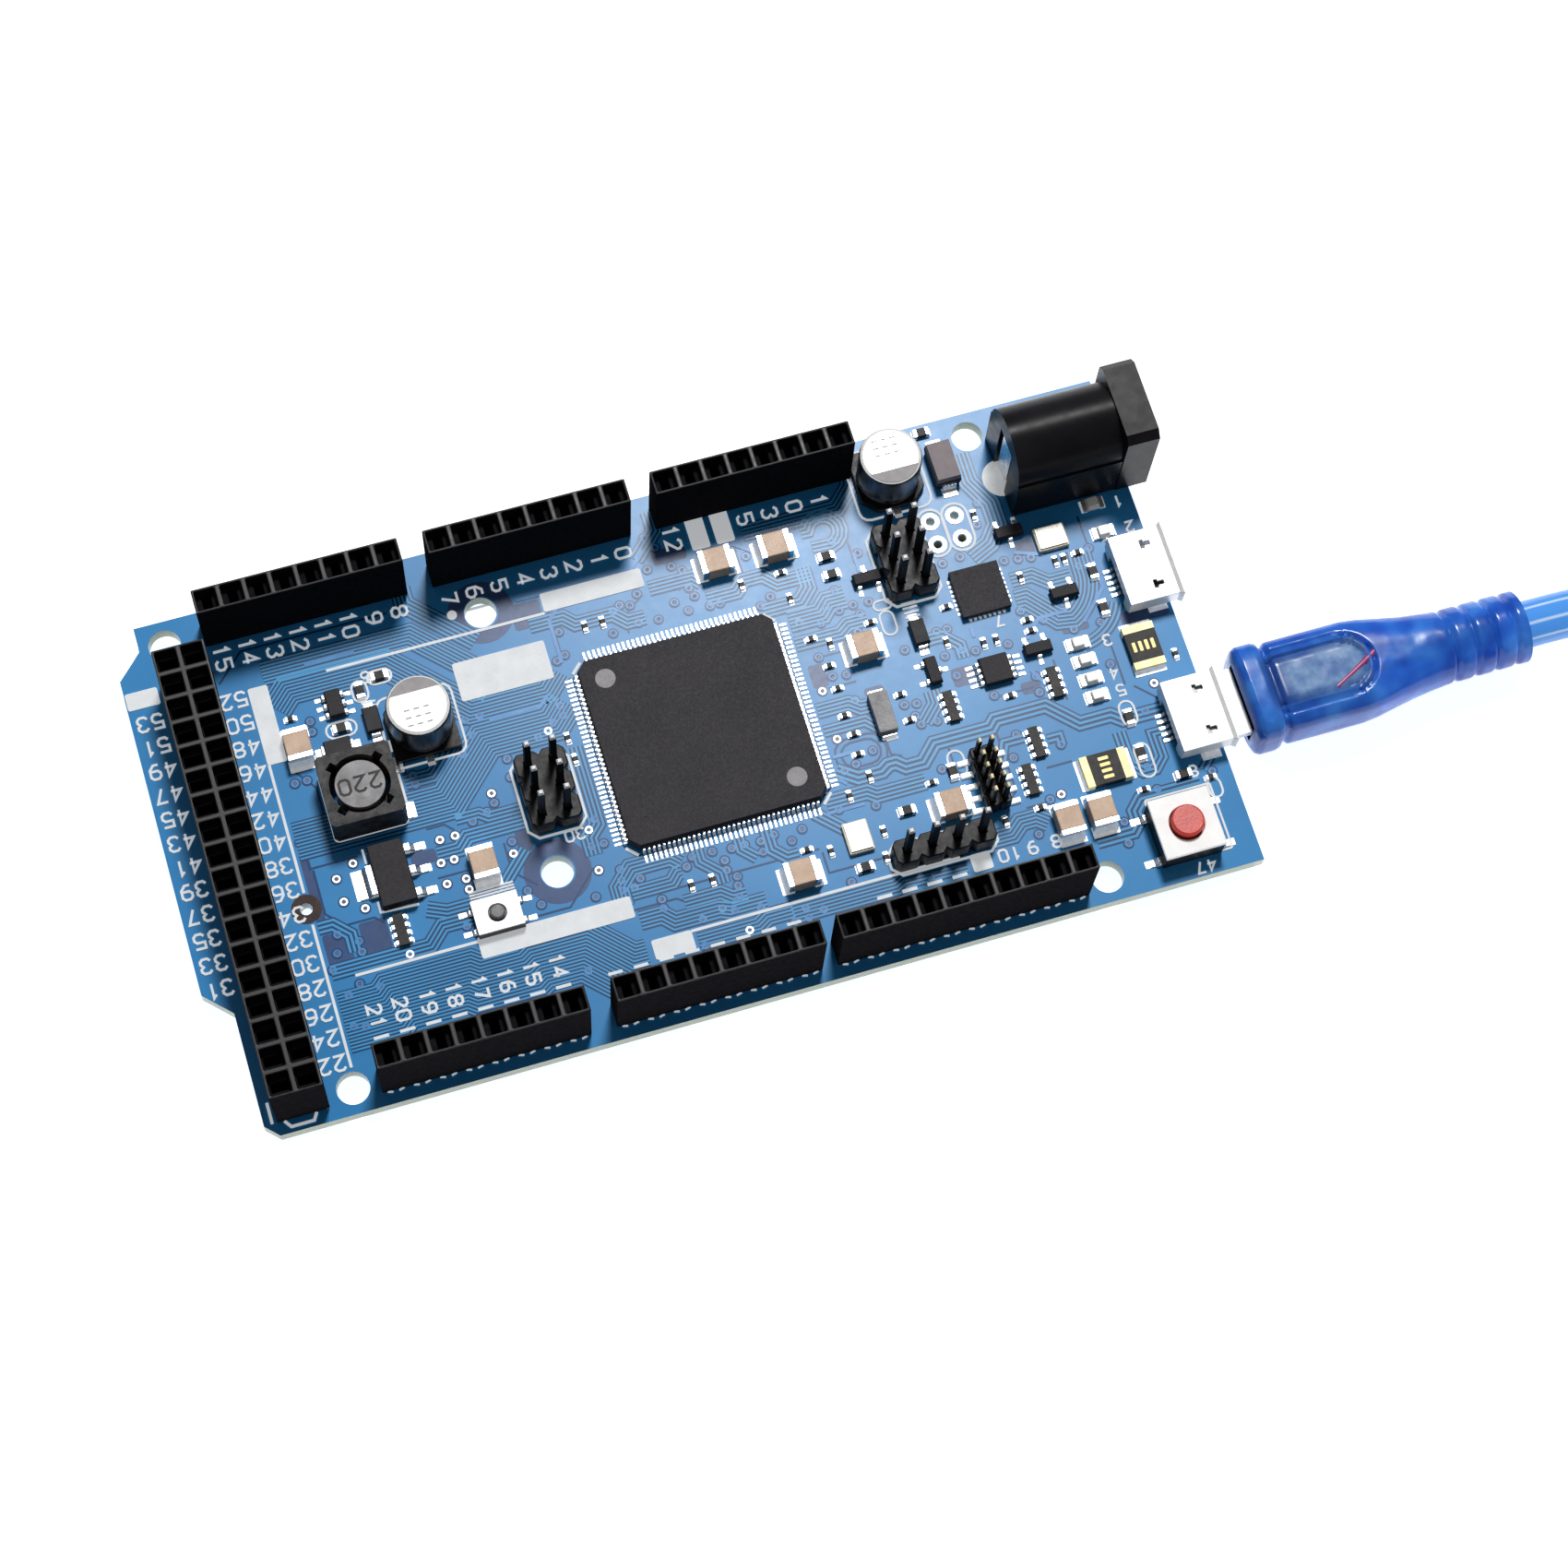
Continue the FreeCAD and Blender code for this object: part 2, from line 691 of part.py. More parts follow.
def make_small_packages():
    amplifier = moulded(3.0, 3.0, 0.1, 1.0)
    converter = moulded(1.6, 2.9, 0.1, 1.2)
    regulator = moulded(3.5, 6.5, 0.05, 1.7)
    transistor = moulded(2.9, 1.3, 0.05, 1.0)
    power_diode = moulded(4.3, 2.6, 0.1, 2.2)
    small_diode = moulded(2.7, 1.6, 0.1, 1.15)
    group("small_ic_bodies", [placed(amplifier, *AMPLIFIER_PLACE), placed(converter, *CONVERTER_PLACE)])
    group("voltage_regulator_body", [placed(regulator, *REGULATOR_PLACE)])
    group("transistor_bodies", at_places(transistor, TRANSISTOR_PLACES))
    group("diode_bodies",
          [placed(power_diode, *POWER_DIODE_PLACE)] + at_places(small_diode, SMALL_DIODE_PLACES))

    leads = []
    for k in range(4):
        lead = gull_lead(0.45, 1.0, 0.15, 0.32, (k - 1.5) * 0.65, 1.5)
        leads += [placed(end, *AMPLIFIER_PLACE) for end in both_ends(lead)]
    for k in range(3):
        lead = gull_lead(0.55, 0.65, 0.15, 0.4, (k - 1) * 0.95, 0.8)
        leads += [placed(end, *CONVERTER_PLACE) for end in both_ends(lead)]
        lead = gull_lead(0.75, 1.75, 0.25, 0.75, (k - 1) * 2.3, 1.75)
        leads.append(placed(lead, *REGULATOR_PLACE))
    tab = placed(gull_lead(0.75, 1.75, 0.25, 3.0, 0, 1.75), 0, 0, 180)
    leads.append(placed(tab, *REGULATOR_PLACE))
    for x, turn in ((-0.95, 90), (0.95, 90), (0, -90)):
        lead = placed(gull_lead(0.45, 0.6, 0.12, 0.42, 0, 0.65), x, 0, turn)
        leads += at_places(lead, TRANSISTOR_PLACES)
    for end in both_ends(gull_lead(0.95, 0.7, 0.2, 1.5, 0, 2.15)):
        leads.append(placed(end, *POWER_DIODE_PLACE))
    for end in both_ends(gull_lead(0.5, 0.55, 0.15, 0.9, 0, 1.35)):
        leads += at_places(end, SMALL_DIODE_PLACES)
    for turn in (90, -90):
        strap = placed(block(1.9, 0.75, 0.2, 2.95), 0, 0, turn)
        leads += at_places(strap, CAN_PLACES)
    for y in (-2.4, 2.4):
        clip = block(0.9, 1.6, 0.2, size("inductor_wide") / 2 + 0.15, y)
        leads.append(placed(clip, size("inductor_u"), size("inductor_v")))
    group("small_part_leads", leads)


# The inductor and the electrolytic capacitors


def make_inductor():
    u, v = size("inductor_u"), size("inductor_v")
    wide, high, hole = size("inductor_wide"), size("inductor_high"), size("inductor_hole_r")
    low = 0.2
    frame = block(wide, wide, high - low, 0, 0, low).cut(cylinder(hole, high, 0, 0, 0))
    notch = placed(block(2 * hole + 1.2, 0.9, high, 0, 0, 0), 0, 0, 45)
    frame = frame.cut(notch).cut(placed(notch, 0, 0, 90))
    frame = frame.makeChamfer(0.35, [e for e in frame.Edges if is_outer_upright(e, wide / 2)])
    drum, core = size("inductor_drum_r"), size("inductor_core_r")
    top = high - 0.15
    flange = 0.7
    spool = turned([
        (0, low), (drum, low), (drum, low + flange), (core, low + flange), (core, top - flange),
        (drum, top - flange), (drum, top), (0, top),
    ])
    winding = turned([
        (core, low + flange), (drum - 0.1, low + flange), (drum - 0.1, top - flange),
        (core, top - flange),
    ])
    group("inductor_frame", [placed(frame, u, v)])
    group("inductor_drum", [placed(spool, u, v)])
    group("inductor_winding", [placed(winding, u, v)])


def is_outer_upright(edge, reach):
    """Whether an edge stands upright at a corner of a square about the origin."""
    middle = edge.CenterOfMass
    upright = abs(edge.tangentAt(edge.FirstParameter).z) > 0.99
    return upright and min(abs(middle.x), abs(middle.y)) > reach - 0.01


def make_capacitor_cans():
    r, top, base = size("can_r"), size("can_high"), size("can_base_high")
    can = turned([
        (0, base), (r, base), (r, base + 0.45), (r - 0.2, base + 0.65), (r - 0.2, base + 0.85),
        (r, base + 1.05), (r, top - 0.35), (r - 0.12, top - 0.1), (r - 0.4, top), (0, top),
    ])
    half = size("can_base_wide") / 2
    cut = 1.4
    corners = [
        Vector(x, y, 0.2) for x, y in (
            (-half, -half), (half, -half), (half, half - cut), (half - cut, half),
            (cut - half, half), (-half, half - cut))
    ]
    base_solid = Part.Face(Part.makePolygon(corners + corners[:1])).extrude(Vector(0, 0, base - 0.2))
    group("capacitor_cans", at_places(can, CAN_PLACES))
    group("capacitor_bases", at_places(base_solid, CAN_PLACES))


# Chip components: u, v and whether each lies along u (0) or v (90)

LARGE_CERAMICS = [
    (14.93, 36.7, 90), (28.95, 20.2, 90), (84.35, 8.75, 90), (87.7, 8.75, 90),
    (59.2, 44.1, 0), (65.3, 44.1, 0), (70.7, 31.5, 0), (57.9, 10.7, 0), (74.0, 13.5, 0),
]
MEDIUM_CHIPS = [
    (19.4, 37.6, 0), (24.3, 41.9, 0), (70.0, 42.0, 0), (70.0, 40.0, 0), (64.1, 9.9, 0), (69.7, 14.3, 0),
    (96.8, 10.4, 0), (83.2, 52.3, 0),
    (22.1, 40.9, 90), (75.2, 16.9, 90), (93.6, 17.5, 90), (93.5, 13.7, 90), (95.1, 33.2, 90),
    (94.9, 29.2, 90),
]
SMALL_CHIPS = [
    (14.9, 39.9, 0), (65.2, 41.6, 0), (66.0, 34.0, 0), (66.9, 30.8, 0), (72.2, 34.1, 0),
    (67.0, 28.3, 0), (66.8, 25.4, 0), (67.1, 23.3, 0), (66.9, 21.2, 0), (72.7, 26.0, 0),
    (72.8, 23.2, 0), (72.9, 16.4, 0), (59.2, 13.2, 0), (82.3, 11.0, 0), (92.6, 10.0, 0),
    (83.1, 22.9, 0), (87.2, 30.1, 0), (87.2, 28.9, 0), (79.9, 33.6, 0), (94.3, 35.6, 0),
    (99.3, 9.4, 0), (45.0, 41.4, 90), (46.8, 41.4, 90), (61.1, 41.4, 90), (65.3, 38.7, 90),
    (67.7, 33.0, 90), (67.3, 18.7, 90), (64.8, 17.3, 90), (66.9, 12.9, 90), (66.35, 10.3, 90),
    (61.4, 12.4, 90), (47.5, 12.8, 90), (49.6, 12.8, 90), (78.6, 10.6, 90), (82.3, 28.9, 90),
    (83.6, 28.9, 90), (78.8, 30.0, 90), (91.9, 35.3, 90), (92.8, 35.3, 90), (88.0, 34.6, 90),
    (100.2, 22.6, 90), (40.2, 30.6, 90), (40.3, 28.3, 90), (85.6, 42.3, 90),
]
RESISTOR_ARRAYS = [
    (77.1, 23.4, 90), (87.7, 23.0, 90), (84.0, 17.5, 90), (82.2, 14.0, 90), (19.7, 16.2, 90),
]
LEDS = [
    (91.2, 26.3, 0), (91.3, 24.4, 0), (91.3, 22.4, 0), (91.3, 20.5, 0), (97.5, 37.0, 0),
    (97.4, 40.2, 0),
]
POLYFUSES = [(97.3, 24.1, 90), (89.6, 13.0, 0)]
CRYSTALS = [(64.3, 13.0, 90), (92.2, 37.8, 0)]
WATCH_CRYSTAL = (70.4, 24.5, 90)


def chip(long, wide, high, cap):
    """A chip component: the body between its two end caps, and the caps."""
    body = block(long - 2 * cap, wide, high)
    caps = [block(cap, wide, high, side * (long - cap) / 2) for side in (-1, 1)]
    return body, caps


def make_chip_components():
    caps = []

    def lay(kind, places):
        body, ends = kind
        for end in ends:
            caps.extend(at_places(end, places))
        return at_places(body, places)

    group("ceramic_capacitor_bodies", lay(chip(3.2, 2.5, 2.0, 0.5), LARGE_CERAMICS))
    small = lay(chip(1.0, 0.5, 0.4, 0.25), SMALL_CHIPS)
    group("chip_component_bodies", small + lay(chip(1.6, 0.85, 0.6, 0.35), MEDIUM_CHIPS))
    pads = [
        block(0.45, 0.3, 0.5, (k - 1.5) * 0.8, side * 0.65) for k in range(4) for side in (-1, 1)
    ]
    group("resistor_array_bodies", lay((block(3.2, 1.0, 0.55), pads), RESISTOR_ARRAYS))
    lamp = block(1.3, 1.25, 0.45).fuse(block(1.1, 1.0, 0.45, 0, 0, 0.45))
    lamp = lamp.removeSplitter()
    lamp_ends = [block(0.45, 1.25, 0.4, side * 0.875) for side in (-1, 1)]
    group("led_bodies", lay((lamp, lamp_ends), LEDS))
    can = block(4.3, 1.9, 1.2)
    can_ends = [block(0.3, 1.5, 0.6, side * 2.3) for side in (-1, 1)]
    group("watch_crystal", lay((can, can_ends), [WATCH_CRYSTAL]))
    group("chip_end_caps", caps)

    fuse_body, fuse_ends = chip(4.6, 3.2, 0.9, 0.75)
    group("polyfuse_bodies", at_places(fuse_body, POLYFUSES))
    group("polyfuse_ends", [end for cap in fuse_ends for end in at_places(cap, POLYFUSES)])
    group("crystal_bases", at_places(block(3.2, 2.5, 0.6), CRYSTALS))
    group("crystal_lids", at_places(block(2.85, 2.15, 0.2, 0, 0, 0.6), CRYSTALS))


# Micro USB receptacles


def upright_outline(x, half_wide, low, high, cut):
    """The D of a micro USB opening, across x, with its two lower corners cut off."""
    corners = [
        Vector(x, y, z) for y, z in (
            (cut - half_wide, low), (half_wide - cut, low), (half_wide, low + cut),
            (half_wide, high), (-half_wide, high), (-half_wide, low + cut))
    ]
    return Part.makePolygon(corners + corners[:1])


def usb_shell():
    """The folded metal shell, open in front, with a lip that flares out."""
    long, wall, lip = size("usb_long"), size("usb_wall"), size("usb_lip")
    half, low, high, cut = size("usb_wide") / 2, size("usb_low"), size("usb_high"), size("usb_cut")
    flare = 0.3
    outside = loft([
        upright_outline(0, half, low, high, cut),
        upright_outline(long, half, low, high, cut),
        upright_outline(long + lip, half + flare, low - 0.04, high + flare, cut),
    ])
    inside = loft([
        upright_outline(wall, half - wall, low + wall, high - wall, cut - 0.1),
        upright_outline(long, half - wall, low + wall, high - wall, cut - 0.1),
        upright_outline(long + lip, half - wall + flare, low + wall - 0.04, high - wall + flare,
                        cut - 0.1),
    ])
    shell = outside.cut(inside)
    shell = shell.cut(block(1, 4.6, 1.4, 0, 0, 0))
    for side in (-1, 1):
        shell = shell.cut(block(0.9, 0.45, 1, long - 1.6, side * 2.2, high - 0.5))
        shell = shell.cut(block(0.4, 0.9, 1, long - 2.0, side * 2.2, high - 0.5))
    return shell


def make_usb_receptacles():
    wall, low, high = size("usb_wall"), size("usb_low"), size("usb_high")
    inner_wide = size("usb_wide") - 2 * wall
    tongue = block(0.65, inner_wide - 1.4, high - low - 2 * wall, wall + 0.325, 0, low + wall)
    tongue = tongue.fuse(block(3.6, 3.9, 0.6, wall + 2.2, 0, size("plug_axis_high") - 0.3))
    tongue = tongue.removeSplitter()
    slots = [block(1, 0.4, 0.25, 0.1, k * 0.65, low + wall) for k in range(-2, 3)]
    tongue = tongue.cut(Part.makeCompound(slots))
    contacts = [
        strip([(-0.9, 0), (-0.1, 0), (0.1, low + wall), (0.6, low + wall), (0.6, low + wall + 0.15),
               (-0.05, low + wall + 0.15), (-0.2, 0.15), (-0.9, 0.15)], 0.35, k * 0.65)
        for k in range(-2, 3)
    ]
    places = [(size("usb_u"), size(v), 0) for v in ("usb_programming_v", "usb_native_v")]
    group("usb_receptacle_shells", at_places(usb_shell(), places))
    group("usb_receptacle_tongues", at_places(tongue, places))
    group("usb_receptacle_contacts", [c for one in contacts for c in at_places(one, places)])


# Power jack


def make_jack():
    body = new_body("power_jack_housing", "jack_u", "jack_v")
    barrel_long = "jack_long - jack_flange_long"
    foot = sketch_on(body, "foot", "YZ_Plane", y="jack_axis_high / 2")
    rectangle(foot, "jack_flange_wide - jack_ledge", "jack_axis_high")
    pad(body, foot, barrel_long)
    barrel = sketch_on(body, "barrel", "YZ_Plane", y="jack_axis_high")
    circle(barrel, "jack_barrel_r")
    pad(body, barrel, barrel_long)
    flange = sketch_on(body, "flange", "YZ_Plane", z=barrel_long)
    half = "jack_flange_wide / 2"
    outline(flange, [
        (f"-({half})", 0), (half, 0), (half, "jack_high - jack_corner"),
        (f"{half} - jack_corner", "jack_high"), (f"jack_corner - {half}", "jack_high"),
        (f"-({half})", "jack_high - jack_corner"),
    ])
    pad(body, flange, "jack_flange_long")
    bore = sketch_on(body, "bore", "YZ_Plane", y="jack_axis_high", z="jack_long")
    circle(bore, "jack_bore_r")
    pocket(body, bore, "jack_bore_deep")
    hole = sketch_on(body, "pin_hole", "YZ_Plane", y="jack_axis_high")
    circle(hole, "jack_pin_r")
    pocket(body, hole, "jack_long - jack_bore_deep", upward=True)
    recess = sketch_on(body, "recess", "YZ_Plane", y="(jack_axis_high + 1.6) / 2")
    rectangle(recess, 3.4, "jack_axis_high + 1.6")
    pocket(body, recess, "jack_recess", upward=True)
    spring_slot = sketch_on(body, "spring_slot", x=6.3)
    rectangle(spring_slot, 1.0, 2.4)
    pocket(body, spring_slot, "jack_axis_high - jack_bore_r + 0.4", upward=True)

    u, v, axis = size("jack_u"), size("jack_v"), size("jack_axis_high")
    low = -size("board_thick + tail_drop")
    rivet = [(0, 0.5), (size("jack_pin_r"), 0.5), (size("jack_pin_r"), size("jack_long") - 1.8),
             (size("jack_pin_r") - 0.4, size("jack_long") - 1.2), (0, size("jack_long") - 1.2)]
    pin = turned(rivet)
    pin.Placement = Placement(Vector(0, 0, axis), Rotation(Vector(0, 1, 0), 90))
    group("power_jack_pin", [placed(pin, u, v)])
    lug = block(0.3, 2.4, axis + 1.2 - low, 0.35, 0, low)
    lug = lug.cut(block(1, 2.4, 5, 0.35, 2.0, low)).cut(block(1, 2.4, 5, 0.35, -2.0, low))
    spring = block(0.3, 2.2, axis - size("jack_bore_r") + 0.25 - low, 6.3, 0, low)
    side = strip([(2.1, low), (4.5, low), (4.5, 3.2), (2.1, 3.2)], 0.3, 4.9)
    side = side.fuse(block(2.4, 0.35, 0.5, 3.3, 4.575, 2.7))
    group("power_jack_terminals", [placed(piece, u, v) for piece in (lug, spring, side)])


# Push switches


def make_switch(name, long, wide, cover_grow):
    """A push switch: base, cover, snap dome and button, each about the switch's middle."""
    u, v = f"{name}_u", f"{name}_v"
    base = new_body(f"{name}_switch_base", u, v, "standoff")
    square = sketch_on(base, "square")
    rectangle(square, long, wide)
    pad(base, square, f"{name}_base_high - standoff")
    well = sketch_on(base, "well", z=f"{name}_base_high - standoff")
    circle(well, f"{name}_well_r")
    pocket(base, well, f"{name}_base_high - {name}_well_floor")
    cover = new_body(f"{name}_switch_cover", u, v, f"{name}_base_high")
    plate = sketch_on(cover, "plate")
    rectangle(plate, f"{long} + {cover_grow}", f"{wide} + {cover_grow}")
    pad(cover, plate, f"{name}_cover_thick")
    hole = sketch_on(cover, "hole", z=f"{name}_cover_thick")
    circle(hole, f"{name}_button_r + button_gap")
    pocket(cover, hole)
    button = new_body(f"{name}_button", u, v, f"{name}_button_low")
    flange = sketch_on(button, "flange")
    circle(flange, f"{name}_flange_r")
    pad(button, flange, f"{name}_flange_thick")
    stem = sketch_on(button, "stem")
    circle(stem, f"{name}_button_r")
    stem_pad = pad(button, stem, f"{name}_button_top - {name}_button_low")
    crown = button.newObject("PartDesign::Fillet", f"{name}_crown")
    crown.Base = (stem_pad, [top_edge(stem_pad.Shape)])
    crown.Radius = 0.2
    document.recompute()
    floor, reach = size(f"{name}_well_floor"), size(f"{name}_well_r") - 0.2
    rise = size(f"{name}_button_low") - floor - 0.05
    dome = turned([
        (reach, floor), (reach * 0.7, floor + rise * 0.6), (reach * 0.35, floor + rise),
        (0, floor + rise), (0, floor + rise - 0.08), (reach * 0.33, floor + rise - 0.08),
        (reach * 0.66, floor + rise * 0.6 - 0.08), (reach - 0.1, floor),
    ])
    group(f"{name}_switch_dome", [placed(dome, size(u), size(v))])


def top_edge(shape):
    """The name of the round edge around a body's top face."""
    for number, edge in enumerate(shape.Edges, start=1):
        box = edge.BoundBox
        if box.ZLength < 1e-3 and box.ZMin > shape.BoundBox.ZMax - 1e-3:
            return f"Edge{number}"
    raise RuntimeError("the button has no top edge")


def make_switch_terminals():
    places = []
    for y in (-2.25, 2.25):
        lead = gull_lead(0.5, 1.1, 0.2, 0.7, y, size("reset_wide") / 2)
        places += [placed(end, size("reset_u"), size("reset_v")) for end in both_ends(lead)]
    for y in (-1.0, 1.0):
        lead = gull_lead(0.3, 0.8, 0.15, 0.5, y, size("erase_long") / 2)
        places += [placed(end, size("erase_u"), size("erase_v")) for end in both_ends(lead)]
    group("switch_terminals", places)


# The cable: a plug in the native USB socket, the cord, its coil, and a plug on the far end


def rounded_outline(x, wide, high, radius):
    """A rectangle with round corners, standing across x about the axis."""
    y, z = wide / 2 - radius, high / 2 - radius
    edges = []
    for side, (cy, cz) in enumerate(((y, -z), (y, z), (-y, z), (-y, -z))):
        turn = math.radians(90 * side - 90)
        spots = [
            Vector(x, cy + radius * math.cos(turn + a), cz + radius * math.sin(turn + a))
            for a in (0, math.pi / 4, math.pi / 2)
        ]
        edges.append(Part.Arc(*spots).toShape())
    straight = [
        Part.makeLine(edges[k].Vertexes[-1].Point, edges[(k + 1) % 4].Vertexes[0].Point)
        for k in range(4)
    ]
    return Part.Wire([edge for pair in zip(edges, straight) for edge in pair])


def along_x(points):
    """A round piece about the X axis, from a profile of x and radius."""
    corners = [Vector(x, r, 0) for x, r in points]
    face = Part.Face(Part.makePolygon(corners + corners[:1]))
    return face.revolve(Vector(0, 0, 0), Vector(1, 0, 0), 360)


def ribbed_relief(start, long, radius, ribs):
    """A strain relief with a groove before each rib, ending at the cord."""
    step = long / ribs
    points = [(start, 0), (start, radius)]
    for k in range(ribs):
        x = start + k * step
        points += [(x + 0.3 * step, radius), (x + 0.35 * step, radius - 0.35),
                   (x + 0.6 * step, radius - 0.35), (x + 0.65 * step, radius)]
    points += [(start + long, radius), (start + long, 0)]
    return along_x(points)


def micro_outline(x, half_wide, low, high, cut):
    axis = size("plug_axis_high")
    return upright_outline(x, half_wide, low - axis, high - axis, cut)


def make_micro_plug():
    nose, face = size("plug_nose_u"), size("overmould_u")
    half, low, high = size("plug_wide") / 2, size("plug_low"), size("plug_high")
    wall = 0.22
    tube = loft([micro_outline(nose, half, low, high, 0.75), micro_outline(face, half, low, high, 0.75)])
    back_long = size("backshell_long")
    back_wide, back_high = size("backshell_wide"), size("backshell_high")
    back = block(back_long, back_wide, back_high, face + back_long / 2, 0, -back_high / 2)
    shell = tube.fuse(back).removeSplitter()
    hollow = loft([
        micro_outline(nose, half - wall, low + wall, high - wall, 0.65),
        micro_outline(face + wall, half - wall, low + wall, high - wall, 0.65),
    ])
    back_hollow = block(back_long - 2 * wall, back_wide - 2 * wall, back_high - 2 * wall,
                        face + back_long / 2, 0, wall - back_high / 2)
    shell = shell.cut(hollow).cut(back_hollow)
    where = ("corner_x", "corner_y + usb_native_v", "tail_drop + board_thick + plug_axis_high")
    group("micro_plug_shell", [shell], *where)

    collar_end = face + size("collar_long")
    grip_end = collar_end + size("grip_long")
    neck_end = grip_end + size("neck_long")
    wide, tall = size("collar_wide"), size("collar_high")
    collar = loft([
        rounded_outline(face, wide - 0.8, tall - 0.8, 1.8),
        rounded_outline(face + 0.5, wide, tall, 2.2),
        rounded_outline(collar_end - 0.5, wide, tall, 2.2),
        rounded_outline(collar_end, wide - 0.9, tall - 0.9, 1.8),
    ])
    wide, tall, relief = size("grip_wide"), size("grip_high"), size("relief_r")
    grip = loft([
        rounded_outline(collar_end, wide, tall, 1.8),
        rounded_outline(grip_end, wide, tall, 1.8),
        rounded_outline(grip_end + 0.45 * (neck_end - grip_end), 8.6, 6.9, 2.6),
        rounded_outline(neck_end, 2 * relief, 2 * relief - 0.2, relief - 0.15),
    ])
    mould = collar.fuse(grip).fuse(ribbed_relief(neck_end, size("relief_long"), relief, 4))
    mould = mould.cut(back).removeSplitter()
    group("micro_plug_overmould", [mould], *where)
    return face + size("collar_long + grip_long + neck_long + relief_long")


def make_end_plug():
    """The plug on the far end of the cable, lying on the surface with its axis along X."""
    relief, grip = size("end_relief_long"), size("end_grip_long")
    wide, tall = size("end_grip_wide"), size("end_grip_high")
    face = relief + grip
    mould = loft([
        rounded_outline(relief, 8.2, 7.4, 3.0),
        rounded_outline(relief + 5, wide, tall, 2.0),
        rounded_outline(face - 0.6, wide, tall, 2.0),
        rounded_outline(face, wide - 1.2, tall - 1.2, 1.6),
    ]).fuse(ribbed_relief(0, relief, 3.6, 4)).removeSplitter()
    where = ("end_plug_x", "end_plug_y", "end_plug_z")
    group("usb_a_plug_overmould", [mould], *where)
    long, wall = size("end_shell_long"), size("end_shell_wall")
    outer_wide, outer_high = size("end_shell_wide"), size("end_shell_high")
    middle = face + long / 2
    shell = block(long, outer_wide, outer_high, middle, 0, -outer_high / 2)
    shell = shell.cut(block(long, outer_wide - 2 * wall, outer_high - 2 * wall, middle + wall, 0,
                            wall - outer_high / 2))
    for side in (-1, 1):
        for top in (-1, 1):
            shell = shell.cut(block(2.3, 2.0, 1, face + 11.5, side * 2.6, top * outer_high / 2 - 0.5))
    group("usb_a_plug_shell", [shell], *where)
    tongue = block(long - 1.0, outer_wide - 2 * wall, 1.9, middle - 0.2, 0, wall - outer_high / 2)
    group("usb_a_plug_tongue", [tongue], *where)


# The cord's route, from the strain relief to the coil and from the coil to the far plug

LEAD_IN = [
    Vector(90.2, -11.0, 4.4), Vector(98.6, -12.2, 3.0), Vector(106.6, -15.8, 2.4),
    Vector(113.6, -19.2, 2.4),
]
LEAD_OUT = [
    Vector(127.0, -21.0, 6.6), Vector(136.0, -21.9, 7.6), Vector(144.0, -23.9, 6.6),
    Vector(152.0, -25.0, 4.4),
]


def cord_tube(points, name):
    """Straight runs joined by tangent arcs, each as large as its two runs allow."""
    edges, start, radii = [], points[0], []
    for before, corner, after in zip(points, points[1:], points[2:]):
        coming, going = corner - before, after - corner
        turn = coming.getAngle(going)
        reach = 0.45 * min(coming.Length, going.Length)
        radius = reach / math.tan(turn / 2)
        radii.append(round(radius, 1))
        coming.normalize()
        going.normalize()
        enter, leave = corner - coming * reach, corner + going * reach
        inward = going - coming
        inward.normalize()
        middle = corner + inward * (radius / math.cos(turn / 2) - radius)
        edges.append(Part.LineSegment(start, enter).toShape())
        edges.append(Part.Arc(enter, middle, leave).toShape())
        start = leave
    edges.append(Part.LineSegment(start, points[-1]).toShape())
    path = Part.Wire(edges)
    radius = size("cord_r")
    ring = Part.Wire([Part.makeCircle(radius, points[0], points[1] - points[0])])
    tube = path.makePipeShell([ring], True, True)
    expected = math.pi * radius ** 2 * path.Length
    print(f"{name}: radii {radii}, length {path.Length:.1f}, volume {tube.Volume / expected:.4f} of it")
    return tube


def make_cord(relief_end_u):
    axis = Vector(
        relief_end_u + size("corner_x"), size("corner_y + usb_native_v"),
        size("tail_drop + board_thick + plug_axis_high"))
    end = Vector(size("end_plug_x"), size("end_plug_y"), size("end_plug_z"))
    tubes = [cord_tube([axis] + LEAD_IN, "lead in"), cord_tube(LEAD_OUT + [end], "lead out")]
    group("usb_cord", tubes, 0, 0, 0)
    cord, middle = size("cord_r"), size("coil_middle_r")
    top = cord * (2 + math.sqrt(3))
    ring = turned([
        (middle - 2 * cord, 0), (middle + 2 * cord, 0), (middle + 2 * cord, 1.6 * cord),
        (middle + cord, top), (middle - cord, top), (middle - 2 * cord, 1.6 * cord),
    ])
    group("cord_coil", [ring], "coil_x", "coil_y", 0)


# Building, checking and writing every sub-part


def check():
    """Stops if any object failed or any sub-part isn't a sound solid."""
    failed = [o.Label for o in document.Objects if {"Invalid", "Error"} & set(o.State)]
    if failed:
        raise RuntimeError(f"these failed: {failed}")
    for part in sub_parts:
        shape = part.Shape
        if shape.isNull() or not shape.isValid() or not shape.Solids:
            raise RuntimeError(f"{part.Label} is not a sound solid")
        if min(solid.Volume for solid in shape.Solids) <= 0:
            raise RuntimeError(f"{part.Label} has a solid that is inside out")


